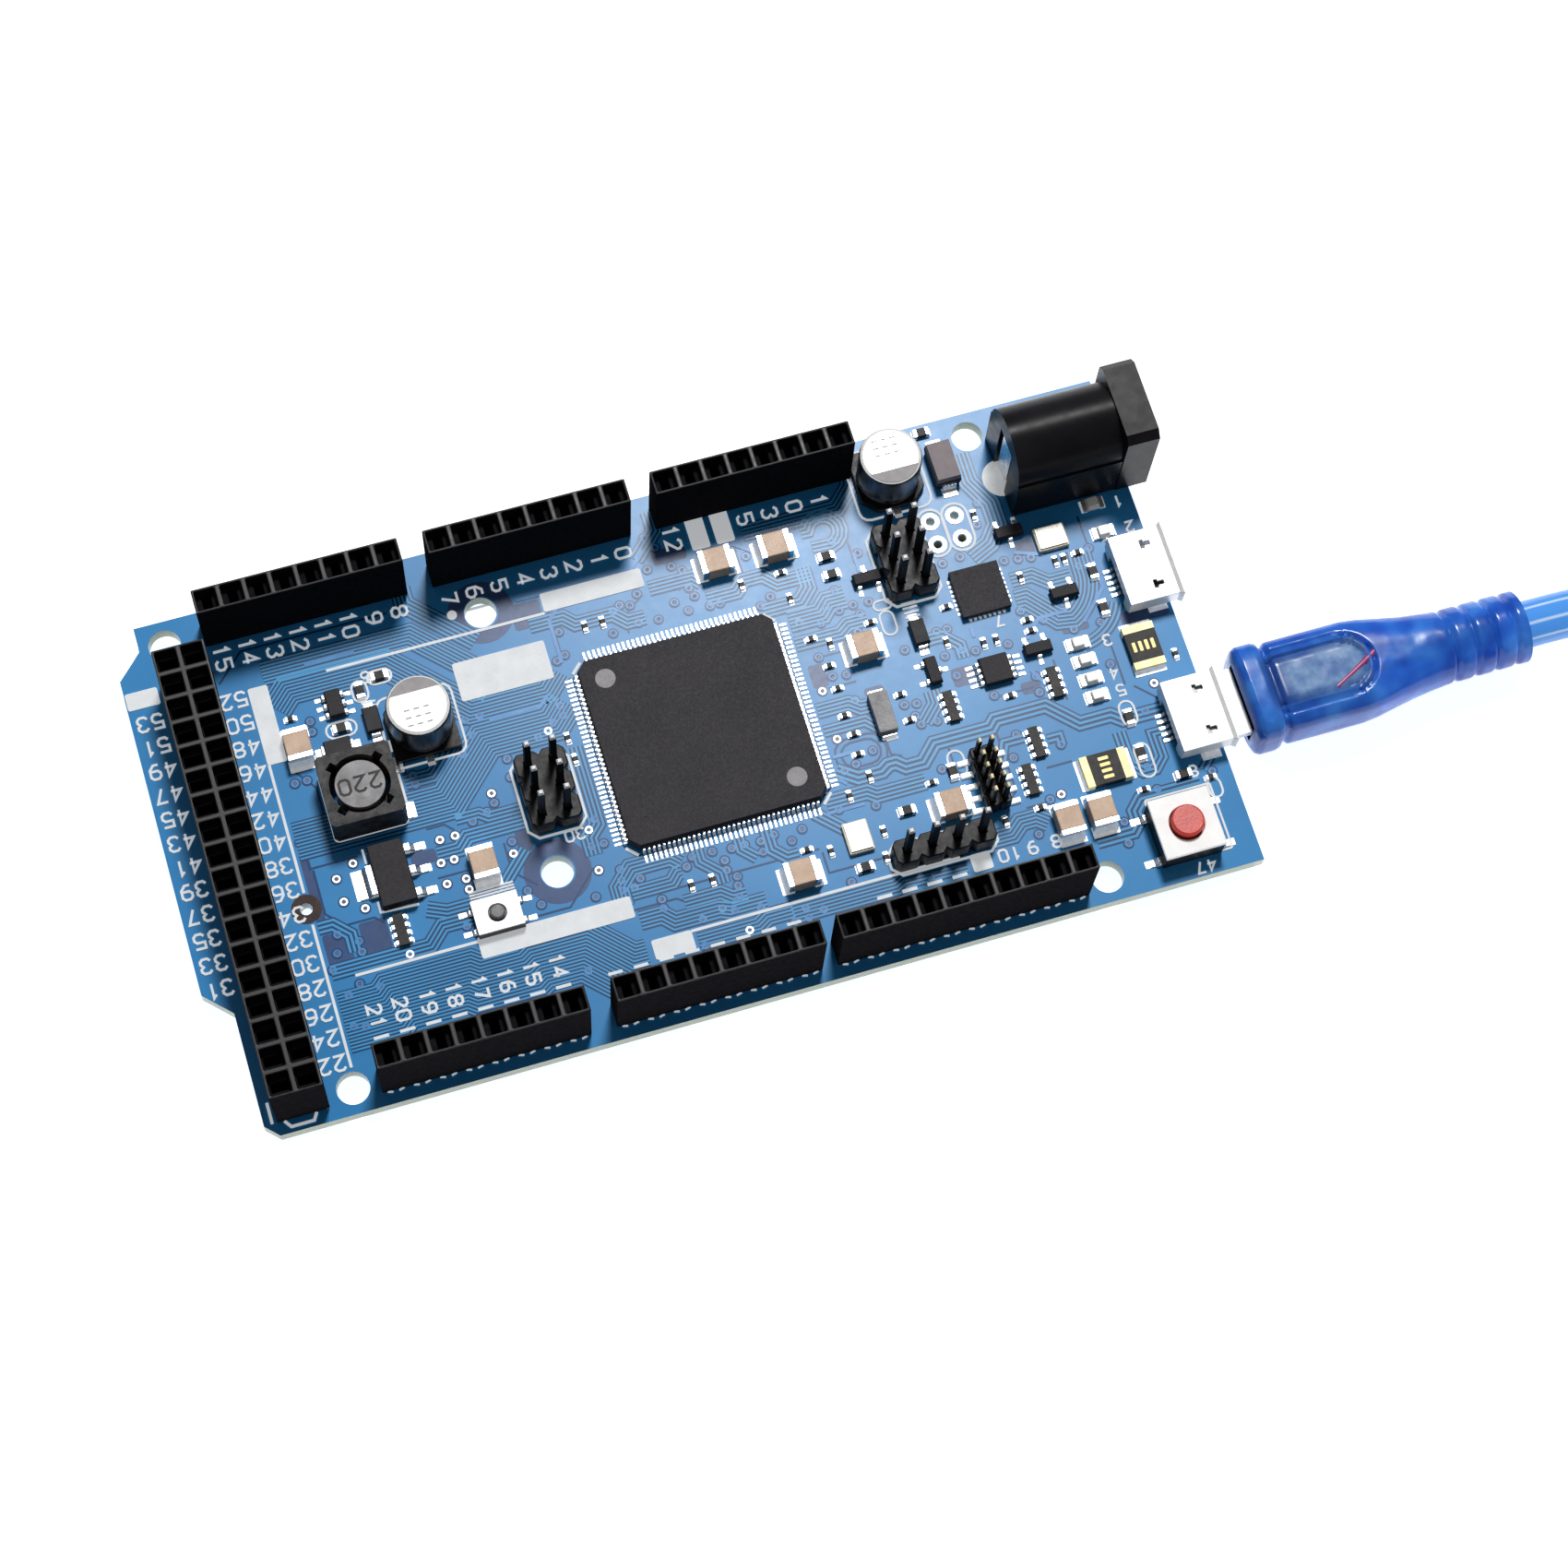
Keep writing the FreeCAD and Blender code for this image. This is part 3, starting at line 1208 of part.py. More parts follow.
make_board()
for header_label, (header_u, header_v, header_count) in EDGE_HEADERS.items():
    make_edge_header(header_label, header_u, header_v, header_count)
make_double_header()
end_places, inner_places = contact_places()
group("header_end_contacts", at_places(contact(), end_places))
group("header_inner_contacts", at_places(contact(), inner_places))
make_pin_headers()
make_fine_header()
make_processor()
make_bridge()
make_small_packages()
make_inductor()
make_capacitor_cans()
make_chip_components()
make_usb_receptacles()
make_jack()
make_switch("reset", "reset_wide", "reset_wide", 0.2)
make_switch("erase", "erase_long", "erase_wide", 0)
make_switch_terminals()
make_cord(make_micro_plug())
make_end_plug()
document.recompute()
check()
os.makedirs("parts", exist_ok=True)
for part in sub_parts:
    part.Shape.exportStep(f"parts/{part.Label}.step")
print(f"{len(sub_parts)} sub-parts written")
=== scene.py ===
"""The looks of the development board and its USB cable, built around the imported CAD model.

Lengths are millimetres on the board, u along it and v across it from its lower left corner, and
`at` turns them into the frame's metres. Heights are above the board's top face.
"""

import math

import bmesh
import bpy
from mathutils import Matrix, Vector


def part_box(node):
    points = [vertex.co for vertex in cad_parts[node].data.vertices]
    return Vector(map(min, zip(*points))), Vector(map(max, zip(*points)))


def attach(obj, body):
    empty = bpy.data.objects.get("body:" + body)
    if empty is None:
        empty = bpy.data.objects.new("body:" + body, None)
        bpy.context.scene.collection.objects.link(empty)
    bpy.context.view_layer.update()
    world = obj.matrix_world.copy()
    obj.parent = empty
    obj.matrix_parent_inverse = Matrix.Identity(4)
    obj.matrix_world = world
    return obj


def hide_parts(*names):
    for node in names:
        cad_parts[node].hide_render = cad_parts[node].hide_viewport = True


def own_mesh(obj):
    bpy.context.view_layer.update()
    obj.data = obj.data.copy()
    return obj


MM = 0.001

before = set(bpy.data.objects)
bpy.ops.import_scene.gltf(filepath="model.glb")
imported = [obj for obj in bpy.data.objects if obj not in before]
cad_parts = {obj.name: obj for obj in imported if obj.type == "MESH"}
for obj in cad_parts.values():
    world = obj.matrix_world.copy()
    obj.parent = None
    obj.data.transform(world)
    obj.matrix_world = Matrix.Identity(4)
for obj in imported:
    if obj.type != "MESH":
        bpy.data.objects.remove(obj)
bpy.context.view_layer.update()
board_low, board_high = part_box("circuit_board")
scene = bpy.context.scene


def at(u, v, high=0.0):
    return Vector((board_low.x + u * MM, board_low.y + v * MM, board_high.z + high * MM))


def on_board(point):
    """The u and v of a point in the frame."""
    return (point.x - board_low.x) / MM, (point.y - board_low.y) / MM


def middle(box):
    """The u and v in the middle of a (u0, v0, low, u1, v1, high) box."""
    return (box[0] + box[3]) / 2, (box[1] + box[4]) / 2


# Outlines


def arc(u, v, radius, start, end, steps=10):
    """Points round a centre, between two angles in degrees."""
    turns = [math.radians(start + (end - start) * k / steps) for k in range(steps + 1)]
    return [(u + radius * math.cos(turn), v + radius * math.sin(turn)) for turn in turns]


def circle(u, v, radius, sides=14):
    return arc(u, v, radius, 0, 360, sides)[:-1]


def rounded(u0, v0, u1, v1, radius, steps=3):
    """The outline of a rectangle with round corners."""
    corners = ((u1 - radius, v0 + radius, -90), (u1 - radius, v1 - radius, 0),
               (u0 + radius, v1 - radius, 90), (u0 + radius, v0 + radius, 180))
    return [point for u, v, start in corners for point in arc(u, v, radius, start, start + 90, steps)]


# A mitre sharper than this is cut short.
SHARPEST_MITRE = 0.4


def side_lines(points, width, closed=False):
    """The two edges of a ribbon along a line of u, v points, mitred at its corners."""
    count = len(points)
    left, right = [], []
    for k, (u, v) in enumerate(points):
        ways = []
        if k or closed:
            ways.append(Vector((u - points[k - 1][0], v - points[k - 1][1])).normalized())
        if k < count - 1 or closed:
            after = points[(k + 1) % count]
            ways.append(Vector((after[0] - u, after[1] - v)).normalized())
        normals = [Vector((-way.y, way.x)) for way in ways]
        mitre = sum(normals, Vector((0, 0))).normalized()
        reach = width / 2 / max(mitre.dot(normals[0]), SHARPEST_MITRE)
        left.append((u + mitre.x * reach, v + mitre.y * reach))
        right.append((u - mitre.x * reach, v - mitre.y * reach))
    return left, right


def beside(points, offset):
    """The line at that distance to the left of another."""
    left, right = side_lines(points, 2 * abs(offset))
    return left if offset >= 0 else right


# Meshes


def skin(mesh, rings, looped=False):
    """Joins rings of vertices into a closed solid, with caps unless the last ring meets the first."""
    sides = len(rings[0])
    for here, there in zip(rings, rings[1:] + rings[:1] if looped else rings[1:]):
        for k in range(sides):
            after = (k + 1) % sides
            mesh.faces.new((here[k], here[after], there[after], there[k]))
    if not looped:
        mesh.faces.new(list(reversed(rings[0])))
        mesh.faces.new(rings[-1])


def level_rings(mesh, levels):
    """A ring of vertices for each (outline, height)."""
    return [[mesh.verts.new(at(u, v, high)) for u, v in outline] for outline, high in levels]


def prism(mesh, outline, low, high):
    """A closed flat piece over an outline of u, v points, between two heights."""
    skin(mesh, level_rings(mesh, ((outline, low), (outline, high))))


def frustum(mesh, foot, head, low, high):
    """A block whose foot and head are (u0, v0, u1, v1) rectangles."""
    outlines = [((u0, v0), (u1, v0), (u1, v1), (u0, v1)) for u0, v0, u1, v1 in (foot, head)]
    skin(mesh, level_rings(mesh, zip(outlines, (low, high))))


def annulus(mesh, u, v, outer, inner, low, high, sides=20):
    """A flat closed ring."""
    section = ((outer, low), (outer, high), (inner, high), (inner, low))
    rings = level_rings(mesh, [(circle(u, v, radius, sides), level) for radius, level in section])
    skin(mesh, rings, True)


def turned(mesh, u, v, profile, sides=24):
    """A closed round piece from a profile of (radius, height), which starts and ends on its axis."""
    rings = level_rings(mesh, [(circle(u, v, radius, sides) if radius else [(u, v)], high)
                               for radius, high in profile])
    for below, above in zip(rings, rings[1:]):
        for k in range(sides):
            after = (k + 1) % sides
            corners = [below[k % len(below)], below[after % len(below)],
                       above[after % len(above)], above[k % len(above)]]
            mesh.faces.new(list(dict.fromkeys(corners)))


def ribbon(mesh, points, width, low, high, closed=False):
    """A closed strip of that width along a line."""
    rings = [[mesh.verts.new(at(*left, low)), mesh.verts.new(at(*right, low)),
              mesh.verts.new(at(*right, high)), mesh.verts.new(at(*left, high))]
             for left, right in zip(*side_lines(points, width, closed))]
    skin(mesh, rings, closed)


def islands(*nodes):
    """Each separate solid of CAD nodes as (u0, v0, low, u1, v1, high), in millimetres."""
    return [box for node in nodes for box in islands_of(node)]


def islands_of(node):
    mesh = bmesh.new()
    mesh.from_mesh(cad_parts[node].data)
    bmesh.ops.remove_doubles(mesh, verts=mesh.verts, dist=1e-7)
    seen, found = set(), []
    for first in mesh.verts:
        if first in seen:
            continue
        seen.add(first)
        waiting, members = [first], []
        while waiting:
            vertex = waiting.pop()
            members.append(vertex.co)
            for edge in vertex.link_edges:
                other = edge.other_vert(vertex)
                if other not in seen:
                    seen.add(other)
                    waiting.append(other)
        low = Vector(min(co[k] for co in members) for k in range(3))
        high = Vector(max(co[k] for co in members) for k in range(3))
        found.append((*on_board(low), (low.z - board_high.z) / MM,
                      *on_board(high), (high.z - board_high.z) / MM))
    mesh.free()
    return sorted(found)


def finish_piece(name, mesh, material, body="board", smooth_angle=None):
    """Puts a finished bmesh in the scene as a piece of that material, which rides on a body."""
    data = bpy.data.meshes.new(name)
    bmesh.ops.recalc_face_normals(mesh, faces=mesh.faces)
    mesh.to_mesh(data)
    mesh.free()
    data.materials.append(MATERIALS[material])
    piece = bpy.data.objects.new(name, data)
    scene.collection.objects.link(piece)
    if smooth_angle is not None:
        data.shade_smooth()
        data.set_sharp_from_angle(angle=math.radians(smooth_angle))
    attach(piece, body)
    return piece


# Nodes


def feed(tree, socket, value):
    """Gives a socket a number, a vector, a colour, or what another socket puts out."""
    if isinstance(value, bpy.types.NodeSocket):
        tree.links.new(value, socket)
    elif isinstance(value, tuple) and socket.type == "RGBA":
        socket.default_value = (*value, 1)
    else:
        socket.default_value = value


def node(tree, kind, outlet, inputs=None, **settings):
    """What a new node puts out at that outlet."""
    made = tree.nodes.new("ShaderNode" + kind)
    for name, value in settings.items():
        setattr(made, name, value)
    for inlet, value in (inputs or {}).items():
        feed(tree, made.inputs[inlet], value)
    return made.outputs[outlet]


# The materials made here, by name. Blender may add a number to a name that the CAD model uses.
MATERIALS = {}


def blank(name):
    """The node tree of a new material."""
    material = MATERIALS[name] = bpy.data.materials.new(name)
    material.use_nodes = True
    return material.node_tree


def noise(tree, grain, detail=3.0, stretch=None):
    """Noise with features about grain millimetres across. Stretch scales it along each axis."""
    source = node(tree, "TexCoord", "Object")
    if stretch:
        source = node(tree, "Mapping", "Vector", {"Vector": source, "Scale": stretch})
    return node(tree, "TexNoise", "Fac", {"Vector": source, "Scale": 1 / (grain * MM), "Detail": detail})


def ramp(tree, value, *stops):
    """A colour ramp over (position, colour) stops."""
    made = tree.nodes.new("ShaderNodeValToRGB")
    elements = made.color_ramp.elements
    while len(elements) < len(stops):
        elements.new(0.5)
    for element, (position, colour) in zip(elements, stops):
        element.position = position
        element.color = (*colour, 1)
    tree.links.new(value, made.inputs["Fac"])
    return made.outputs["Color"]


# Noise stays mostly between these, so they are where a range of colours or numbers starts and ends.
NOISE_LOW, NOISE_HIGH = 0.3, 0.7


def shades(tree, value, dark, light):
    return ramp(tree, value, (NOISE_LOW, dark), (NOISE_HIGH, light))


def spread(tree, value, low, high, start=NOISE_LOW, end=NOISE_HIGH):
    """The value's range from start to end, stretched to run from low to high."""
    return node(tree, "MapRange", "Result", {"Value": value, "From Min": start, "From Max": end,
                                             "To Min": low, "To Max": high})


def bump(tree, value, depth, strength=0.4):
    """A bump of that depth in millimetres."""
    return node(tree, "Bump", "Normal", {"Height": value, "Distance": depth * MM, "Strength": strength})


def sum_of(tree, operation, *values):
    """A sum over sockets and numbers, by the name of its operation."""
    return node(tree, "Math", 0, dict(enumerate(values)), operation=operation)


def mix(tree, share, low, high):
    """Between two colours."""
    return node(tree, "Mix", 2, {"Factor": share, 6: low, 7: high}, data_type="RGBA")


def place(tree, axis, source="Object"):
    """Where a point lies along an axis of its own object, or of the curve it is on."""
    return node(tree, "SeparateXYZ", axis, {"Vector": node(tree, "TexCoord", source)})


def facing(tree, axis, sharp=0.5):
    """1 where the surface faces up or down that axis, and 0 where it doesn't."""
    normal = node(tree, "NewGeometry", "Normal")
    slope = sum_of(tree, "ABSOLUTE", node(tree, "SeparateXYZ", axis, {"Vector": normal}))
    return sum_of(tree, "GREATER_THAN", slope, sharp)


def near(tree, value, centre, reach, soft):
    """1 where the value is within that reach of the centre, falling to 0 over a soft edge."""
    away = sum_of(tree, "ABSOLUTE", sum_of(tree, "SUBTRACT", value, centre))
    return spread(tree, away, 1, 0, reach - soft, reach + soft)


SOCKETS = {"metallic": "Metallic", "specular": "Specular IOR Level", "coat": "Coat Weight",
           "coat_rough": "Coat Roughness", "clear": "Transmission Weight", "ior": "IOR"}
# The tint of the painted glow, an emission that brightens pale surfaces even in shade.
PAINTED_GLOW_TINT = (0.9, 0.93, 0.96)


def paint(tree, colour, rough, normal, lift=0.0, **values):
    """Feeds a shader. Its glow is painted light: an emission that evens a pale surface out and keeps it
    bright in shade, standing in for the bounce light of a white tent.
    """
    inputs = tree.nodes["Principled BSDF"].inputs
    feed(tree, inputs["Base Color"], colour)
    feed(tree, inputs["Roughness"], rough)
    feed(tree, inputs["Normal"], normal)
    for name, value in values.items():
        feed(tree, inputs[SOCKETS[name]], value)
    if lift:
        feed(tree, inputs["Emission Color"], PAINTED_GLOW_TINT)
        feed(tree, inputs["Emission Strength"], lift)


# Materials


def surface(name, dark, light, rough, patch, grain, depth, stretch=None, **values):
    """A moulded, plated or fired surface: colour in soft patches, roughness and bump in a fine grain.

    Patch, grain and depth are millimetres, and rough is a range.
    """
    tree = blank(name)
    patches, grains = noise(tree, patch, 4.0, stretch), noise(tree, grain, 2.0, stretch)
    paint(tree, shades(tree, patches, dark, light), spread(tree, grains, *rough),
          bump(tree, grains, depth), coat_rough=0.1, **values)


def two_toned(name, height, below, above, rough, specular):
    """One colour range below a height of the frame and another above it."""
    tree = blank(name)
    beyond = sum_of(tree, "GREATER_THAN", place(tree, "Z"), height)
    grains = noise(tree, 0.8)
    colour = mix(tree, beyond, shades(tree, grains, *below), shades(tree, grains, *above))
    paint(tree, colour, spread(tree, grains, *rough), bump(tree, grains, 0.006), specular=specular)


# How much solder mask shines.
MASK_SHEEN = 0.17


def solder_mask():
    """Blue solder mask over the copper pour above and below, and bare laminate on the edges."""
    tree = blank("solder_mask")
    weave = noise(tree, 0.9, 2.0)
    mask = shades(tree, noise(tree, 16.0), (0.020, 0.20, 0.47), (0.032, 0.24, 0.54))
    laminate = shades(tree, noise(tree, 0.4, 3.0, (1, 1, 6)), (0.34, 0.37, 0.26), (0.52, 0.54, 0.42))
    paint(tree, mix(tree, facing(tree, "Z"), laminate, mask), spread(tree, weave, 0.25, 0.27),
          bump(tree, weave, 0.004, 0.2), specular=MASK_SHEEN)


def drawn_aluminium():
    """Drawn cans: a satin end, and a polished side whose dark colour is a painted reflection of the dark
    parts round it.
    """
    tree = blank("drawn_aluminium")
    brushed = noise(tree, 0.5, 3.0, (1, 1, 0.1))
    end = shades(tree, brushed, (0.74, 0.74, 0.72), (0.84, 0.84, 0.82))
    # Painted reflection: the side is coloured dark to stand for the dark surroundings it mirrors.
    side = shades(tree, brushed, (0.05, 0.055, 0.07), (0.14, 0.15, 0.18))
    flat = facing(tree, "Z", 0.75)
    paint(tree, mix(tree, flat, side, end), spread(tree, brushed, 0.24, 0.36),
          bump(tree, brushed, 0.006), metallic=spread(tree, flat, 0.85, 0.15, 0, 1), specular=0.15)


def header_moulding():
    """Black moulding, painted lighter and satin on top as painted light, and painted darker and dull down
    its sides and cavities as painted shade.
    """
    tree = blank("header_moulding")
    grains = noise(tree, 0.5)
    above = sum_of(tree, "GREATER_THAN", place(tree, "Z"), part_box("power_header")[1].z - 0.2 * MM)
    top = sum_of(tree, "MULTIPLY", above, facing(tree, "Z", 0.6))
    # Painted shade on the sides and cavities, and a painted lit tone on the top faces.
    side = shades(tree, grains, (0.008, 0.008, 0.0095), (0.013, 0.0125, 0.015))
    roof = shades(tree, grains, (0.020, 0.020, 0.022), (0.034, 0.033, 0.036))
    paint(tree, mix(tree, top, side, roof), spread(tree, grains, 0.38, 0.48),
          bump(tree, grains, 0.006), specular=spread(tree, top, 0, 0.3, 0, 1))


def plug_steel():
    """The plug's shell: painted dark as shade where it lies inside the socket and the grip, and bright in
    the gap between them.
    """
    tree = blank("plug_steel")
    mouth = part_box("usb_receptacle_shells")[1].x - 0.5 * MM
    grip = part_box("micro_plug_overmould")[0].x
    grains = noise(tree, 0.9, 4.0)
    # Painted shade: the shell is dark wherever the socket or the grip hides it.
    socket_shade = shades(tree, grains, (0.22, 0.22, 0.23), (0.34, 0.34, 0.35))
    bright = shades(tree, grains, (0.74, 0.76, 0.80), (0.92, 0.93, 0.95))
    gap = near(tree, place(tree, "X"), (mouth + grip) / 2, (grip - mouth) / 2 + 0.3 * MM, 0.02 * MM)
    paint(tree, mix(tree, gap, socket_shade, bright), spread(tree, grains, 0.3, 0.45),
          bump(tree, grains, 0.02), metallic=0.35)


def plug_vinyl():
    """Clear blue vinyl, cloudy and lumpy, with the plug's shell showing pale behind the window."""
    tree = blank("plug_vinyl")
    low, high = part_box("micro_plug_overmould")
    clouds = noise(tree, 4.0, 2.0)
    body = ramp(tree, clouds, (0.34, (0.012, 0.085, 0.52)), (0.5, (0.024, 0.15, 0.68)),
                (0.66, (0.06, 0.27, 0.84)))
    pale = ramp(tree, noise(tree, 2.2), (0.36, (0.08, 0.20, 0.52)), (0.5, (0.17, 0.33, 0.64)),
                (0.64, (0.32, 0.52, 0.80)))
    slate = shades(tree, clouds, (0.016, 0.07, 0.32), (0.03, 0.10, 0.42))

    x, y = place(tree, "X"), place(tree, "Y")

    def region(start, long, wide, soft):
        along = near(tree, x, low.x + start * MM, long * MM, soft * MM)
        across = near(tree, y, (low.y + high.y) / 2, wide * MM, soft * MM)
        return sum_of(tree, "MULTIPLY", along, across)

    sheet, window = region(7.4, 5.2, 2.7, 0.5), region(8.4, 4.0, 2.0, 0.7)
    paint(tree, mix(tree, window, mix(tree, sheet, body, slate), pale),
          spread(tree, noise(tree, 1.5), 0.14, 0.26), bump(tree, noise(tree, 2.4, 1.0), 0.14, 0.5),
          clear=0.3, ior=1.4)


def cord_vinyl():
    """Clear blue jacket over a bright shield, with pale streaks along the cord that are partly the shield's
    strands and partly painted highlights.
    """
    tree = blank("cord_vinyl")
    # Pale streaks round the cord: partly the shield's strands, partly painted highlights.
    strand_and_highlight_lines = 9
    turn = sum_of(tree, "MULTIPLY", place(tree, "Y", "UV"), 2 * math.pi * strand_and_highlight_lines)
    strand_and_highlight_streaks = ramp(tree, sum_of(tree, "SINE", turn), (0.55, (0.10, 0.38, 0.90)),
                   (0.80, (0.20, 0.52, 0.95)), (0.97, (0.80, 0.90, 1.0)))
    paint(tree, strand_and_highlight_streaks, spread(tree, noise(tree, 1.5), 0.08, 0.2),
          bump(tree, noise(tree, 1.2), 0.04, 0.3), clear=0.35, ior=1.42)


# Plastics, metals, ceramics, inks, and the mask over traces, gaps and holes.
surface("black_moulding", (0.003, 0.003, 0.004), (0.007, 0.006, 0.008), (0.36, 0.46), 4.0, 0.5, 0.006,
        specular=0.2)
surface("tinned_metal", (0.72, 0.73, 0.75), (0.93, 0.93, 0.93), (0.18, 0.42), 0.8, 0.2, 0.03, metallic=1.0)
surface("nickel_plate", (0.86, 0.86, 0.855), (0.95, 0.95, 0.94), (0.28, 0.42), 2.5, 0.2, 0.01,
        stretch=(1, 6, 6), metallic=0.3)
surface("chip_resin", (0.022, 0.020, 0.024), (0.030, 0.027, 0.032), (0.5, 0.62), 5.0, 0.2, 0.006,
        specular=0.16)
surface("ferrite", (0.17, 0.165, 0.17), (0.34, 0.33, 0.34), (0.45, 0.7), 1.2, 0.15, 0.04)
surface("enamelled_copper", (0.32, 0.10, 0.03), (0.62, 0.26, 0.10), (0.25, 0.4), 1.0, 0.2, 0.1,
        stretch=(1, 1, 8), metallic=0.8)
surface("tan_ceramic", (0.46, 0.30, 0.19), (0.60, 0.42, 0.29), (0.4, 0.55), 1.5, 0.12, 0.01)
surface("resistor_black", (0.012, 0.011, 0.011), (0.035, 0.032, 0.03), (0.4, 0.55), 0.8, 0.1, 0.006,
        specular=0.2)
surface("white_ceramic", (0.62, 0.55, 0.38), (0.80, 0.74, 0.58), (0.35, 0.5), 1.0, 0.1, 0.01)
surface("milky_resin", (0.78, 0.78, 0.72), (0.90, 0.90, 0.86), (0.15, 0.3), 0.8, 0.2, 0.01, coat=0.5)
surface("white_plastic", (0.84, 0.84, 0.82), (0.93, 0.93, 0.91), (0.3, 0.42), 2.0, 0.2, 0.01)
surface("red_plastic", (0.52, 0.025, 0.015), (0.66, 0.05, 0.03), (0.28, 0.42), 1.5, 0.2, 0.02)
surface("grey_plastic", (0.09, 0.09, 0.10), (0.14, 0.14, 0.15), (0.35, 0.5), 1.0, 0.15, 0.02)
surface("spring_steel", (0.55, 0.55, 0.56), (0.72, 0.72, 0.72), (0.2, 0.35), 1.0, 0.15, 0.01, metallic=1.0)
# White ink carries a painted glow, so that the labels stay bright in shade.
surface("white_ink", (0.33, 0.34, 0.35), (0.42, 0.43, 0.44), (0.5, 0.65), 1.5, 0.12, 0.01, lift=0.4)
# Solder and the pooled solder carry a painted glow, so that they stay bright in shade.
surface("solder", (0.60, 0.60, 0.61), (0.94, 0.94, 0.94), (0.28, 0.5), 0.5, 0.15, 0.03, metallic=0.4,
        lift=0.22)
surface("pooled_solder", (0.62, 0.62, 0.63), (0.9, 0.9, 0.9), (0.2, 0.4), 1.2, 0.3, 0.12, lift=0.3)
surface("can_stripe_ink", (0.30, 0.28, 0.29), (0.38, 0.36, 0.37), (0.45, 0.6), 1.0, 0.1, 0.01, specular=0.2)
surface("grey_ink", (0.34, 0.33, 0.32), (0.46, 0.45, 0.44), (0.5, 0.6), 1.0, 0.1, 0.01, specular=0.2)
surface("gilt_ink", (0.80, 0.56, 0.12), (0.96, 0.76, 0.26), (0.3, 0.45), 0.5, 0.1, 0.01, metallic=0.1)
surface("tented_bore", (0.003, 0.016, 0.07), (0.006, 0.026, 0.11), (0.3, 0.5), 0.6, 0.1, 0.02)
surface("mask_over_bare_laminate", (0.028, 0.065, 0.175), (0.045, 0.09, 0.23), (0.25, 0.28), 3.5, 0.6,
        0.005, specular=MASK_SHEEN)
surface("tented_ring", (0.035, 0.20, 0.52), (0.10, 0.31, 0.64), (0.25, 0.28), 2.0, 0.3, 0.004,
        specular=MASK_SHEEN)
surface("brown_ring", (0.018, 0.007, 0.004), (0.045, 0.018, 0.010), (0.4, 0.55), 0.8, 0.15, 0.01,
        specular=0.2)
surface("red_insulation", (0.28, 0.03, 0.13), (0.45, 0.07, 0.20), (0.25, 0.4), 1.0, 0.1, 0.01)
surface("black_insulation", (0.01, 0.01, 0.012), (0.03, 0.03, 0.03), (0.25, 0.4), 1.0, 0.1, 0.01)
surface("white_insulation", (0.75, 0.75, 0.74), (0.88, 0.88, 0.87), (0.25, 0.4), 1.0, 0.1, 0.01)
surface("green_insulation", (0.03, 0.30, 0.10), (0.06, 0.40, 0.16), (0.25, 0.4), 1.0, 0.1, 0.01)
surface("mask_over_trace", (0.044, 0.275, 0.56), (0.060, 0.32, 0.62), (0.25, 0.27), 9.0, 0.8, 0.003,
        specular=MASK_SHEEN)
surface("mask_over_laminate", (0.002, 0.040, 0.13), (0.004, 0.052, 0.17), (0.25, 0.27), 9.0, 0.8, 0.003,
        specular=MASK_SHEEN)
surface("pale_gold_end", (0.88, 0.70, 0.28), (0.97, 0.85, 0.46), (0.35, 0.5), 0.8, 0.2, 0.006, metallic=0.1)
surface("crystal_lid", (0.84, 0.80, 0.68), (0.93, 0.90, 0.82), (0.3, 0.42), 1.2, 0.2, 0.004, metallic=0.2)
# Painted shade: the socket contacts are near black with no shine, as they lie deep in the header cells.
surface("socket_contact", (0.0015, 0.0015, 0.0015), (0.004, 0.0035, 0.003), (0.5, 0.6), 0.8, 0.2, 0.01,
        specular=0.0)
surface("jack_moulding", (0.006, 0.006, 0.007), (0.013, 0.012, 0.014), (0.27, 0.34), 6.0, 1.2, 0.01,
        specular=0.08)
surface("coated_ferrite", (0.012, 0.012, 0.013), (0.075, 0.07, 0.07), (0.42, 0.6), 0.9, 0.15, 0.03,
        specular=0.2)
surface("ejector_mark", (0.22, 0.21, 0.22), (0.30, 0.29, 0.30), (0.4, 0.5), 0.8, 0.15, 0.004, specular=0.2)
surface("engraved_ferrite", (0.03, 0.028, 0.028), (0.05, 0.045, 0.045), (0.5, 0.6), 0.8, 0.2, 0.01,
        specular=0.2)
solder_mask()
drawn_aluminium()
header_moulding()
plug_steel()
plug_vinyl()
cord_vinyl()
two_toned("diode_resin", board_high.z + 1.5 * MM, ((0.022, 0.02, 0.023), (0.03, 0.028, 0.031)),
          ((0.20, 0.17, 0.18), (0.27, 0.23, 0.24)), (0.5, 0.6), 0.2)
# Painted light: the pins are painted black down their sides as shade, and bright at their tips as a
# highlight.
two_toned("header_pin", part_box("header_pins")[1].z - 0.3 * MM,
          ((0.004, 0.004, 0.005), (0.012, 0.012, 0.012)), ((0.82, 0.82, 0.82), (0.94, 0.94, 0.94)),
          (0.4, 0.5), 0.08)
# Painted shade: the fine pins are dark below their tips, and gold at the tips.
two_toned("fine_pin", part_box("jtag_pins")[1].z - 0.3 * MM,
          ((0.006, 0.005, 0.004), (0.02, 0.016, 0.010)), ((0.90, 0.74, 0.40), (0.98, 0.88, 0.6)),
          (0.4, 0.5), 0.1)

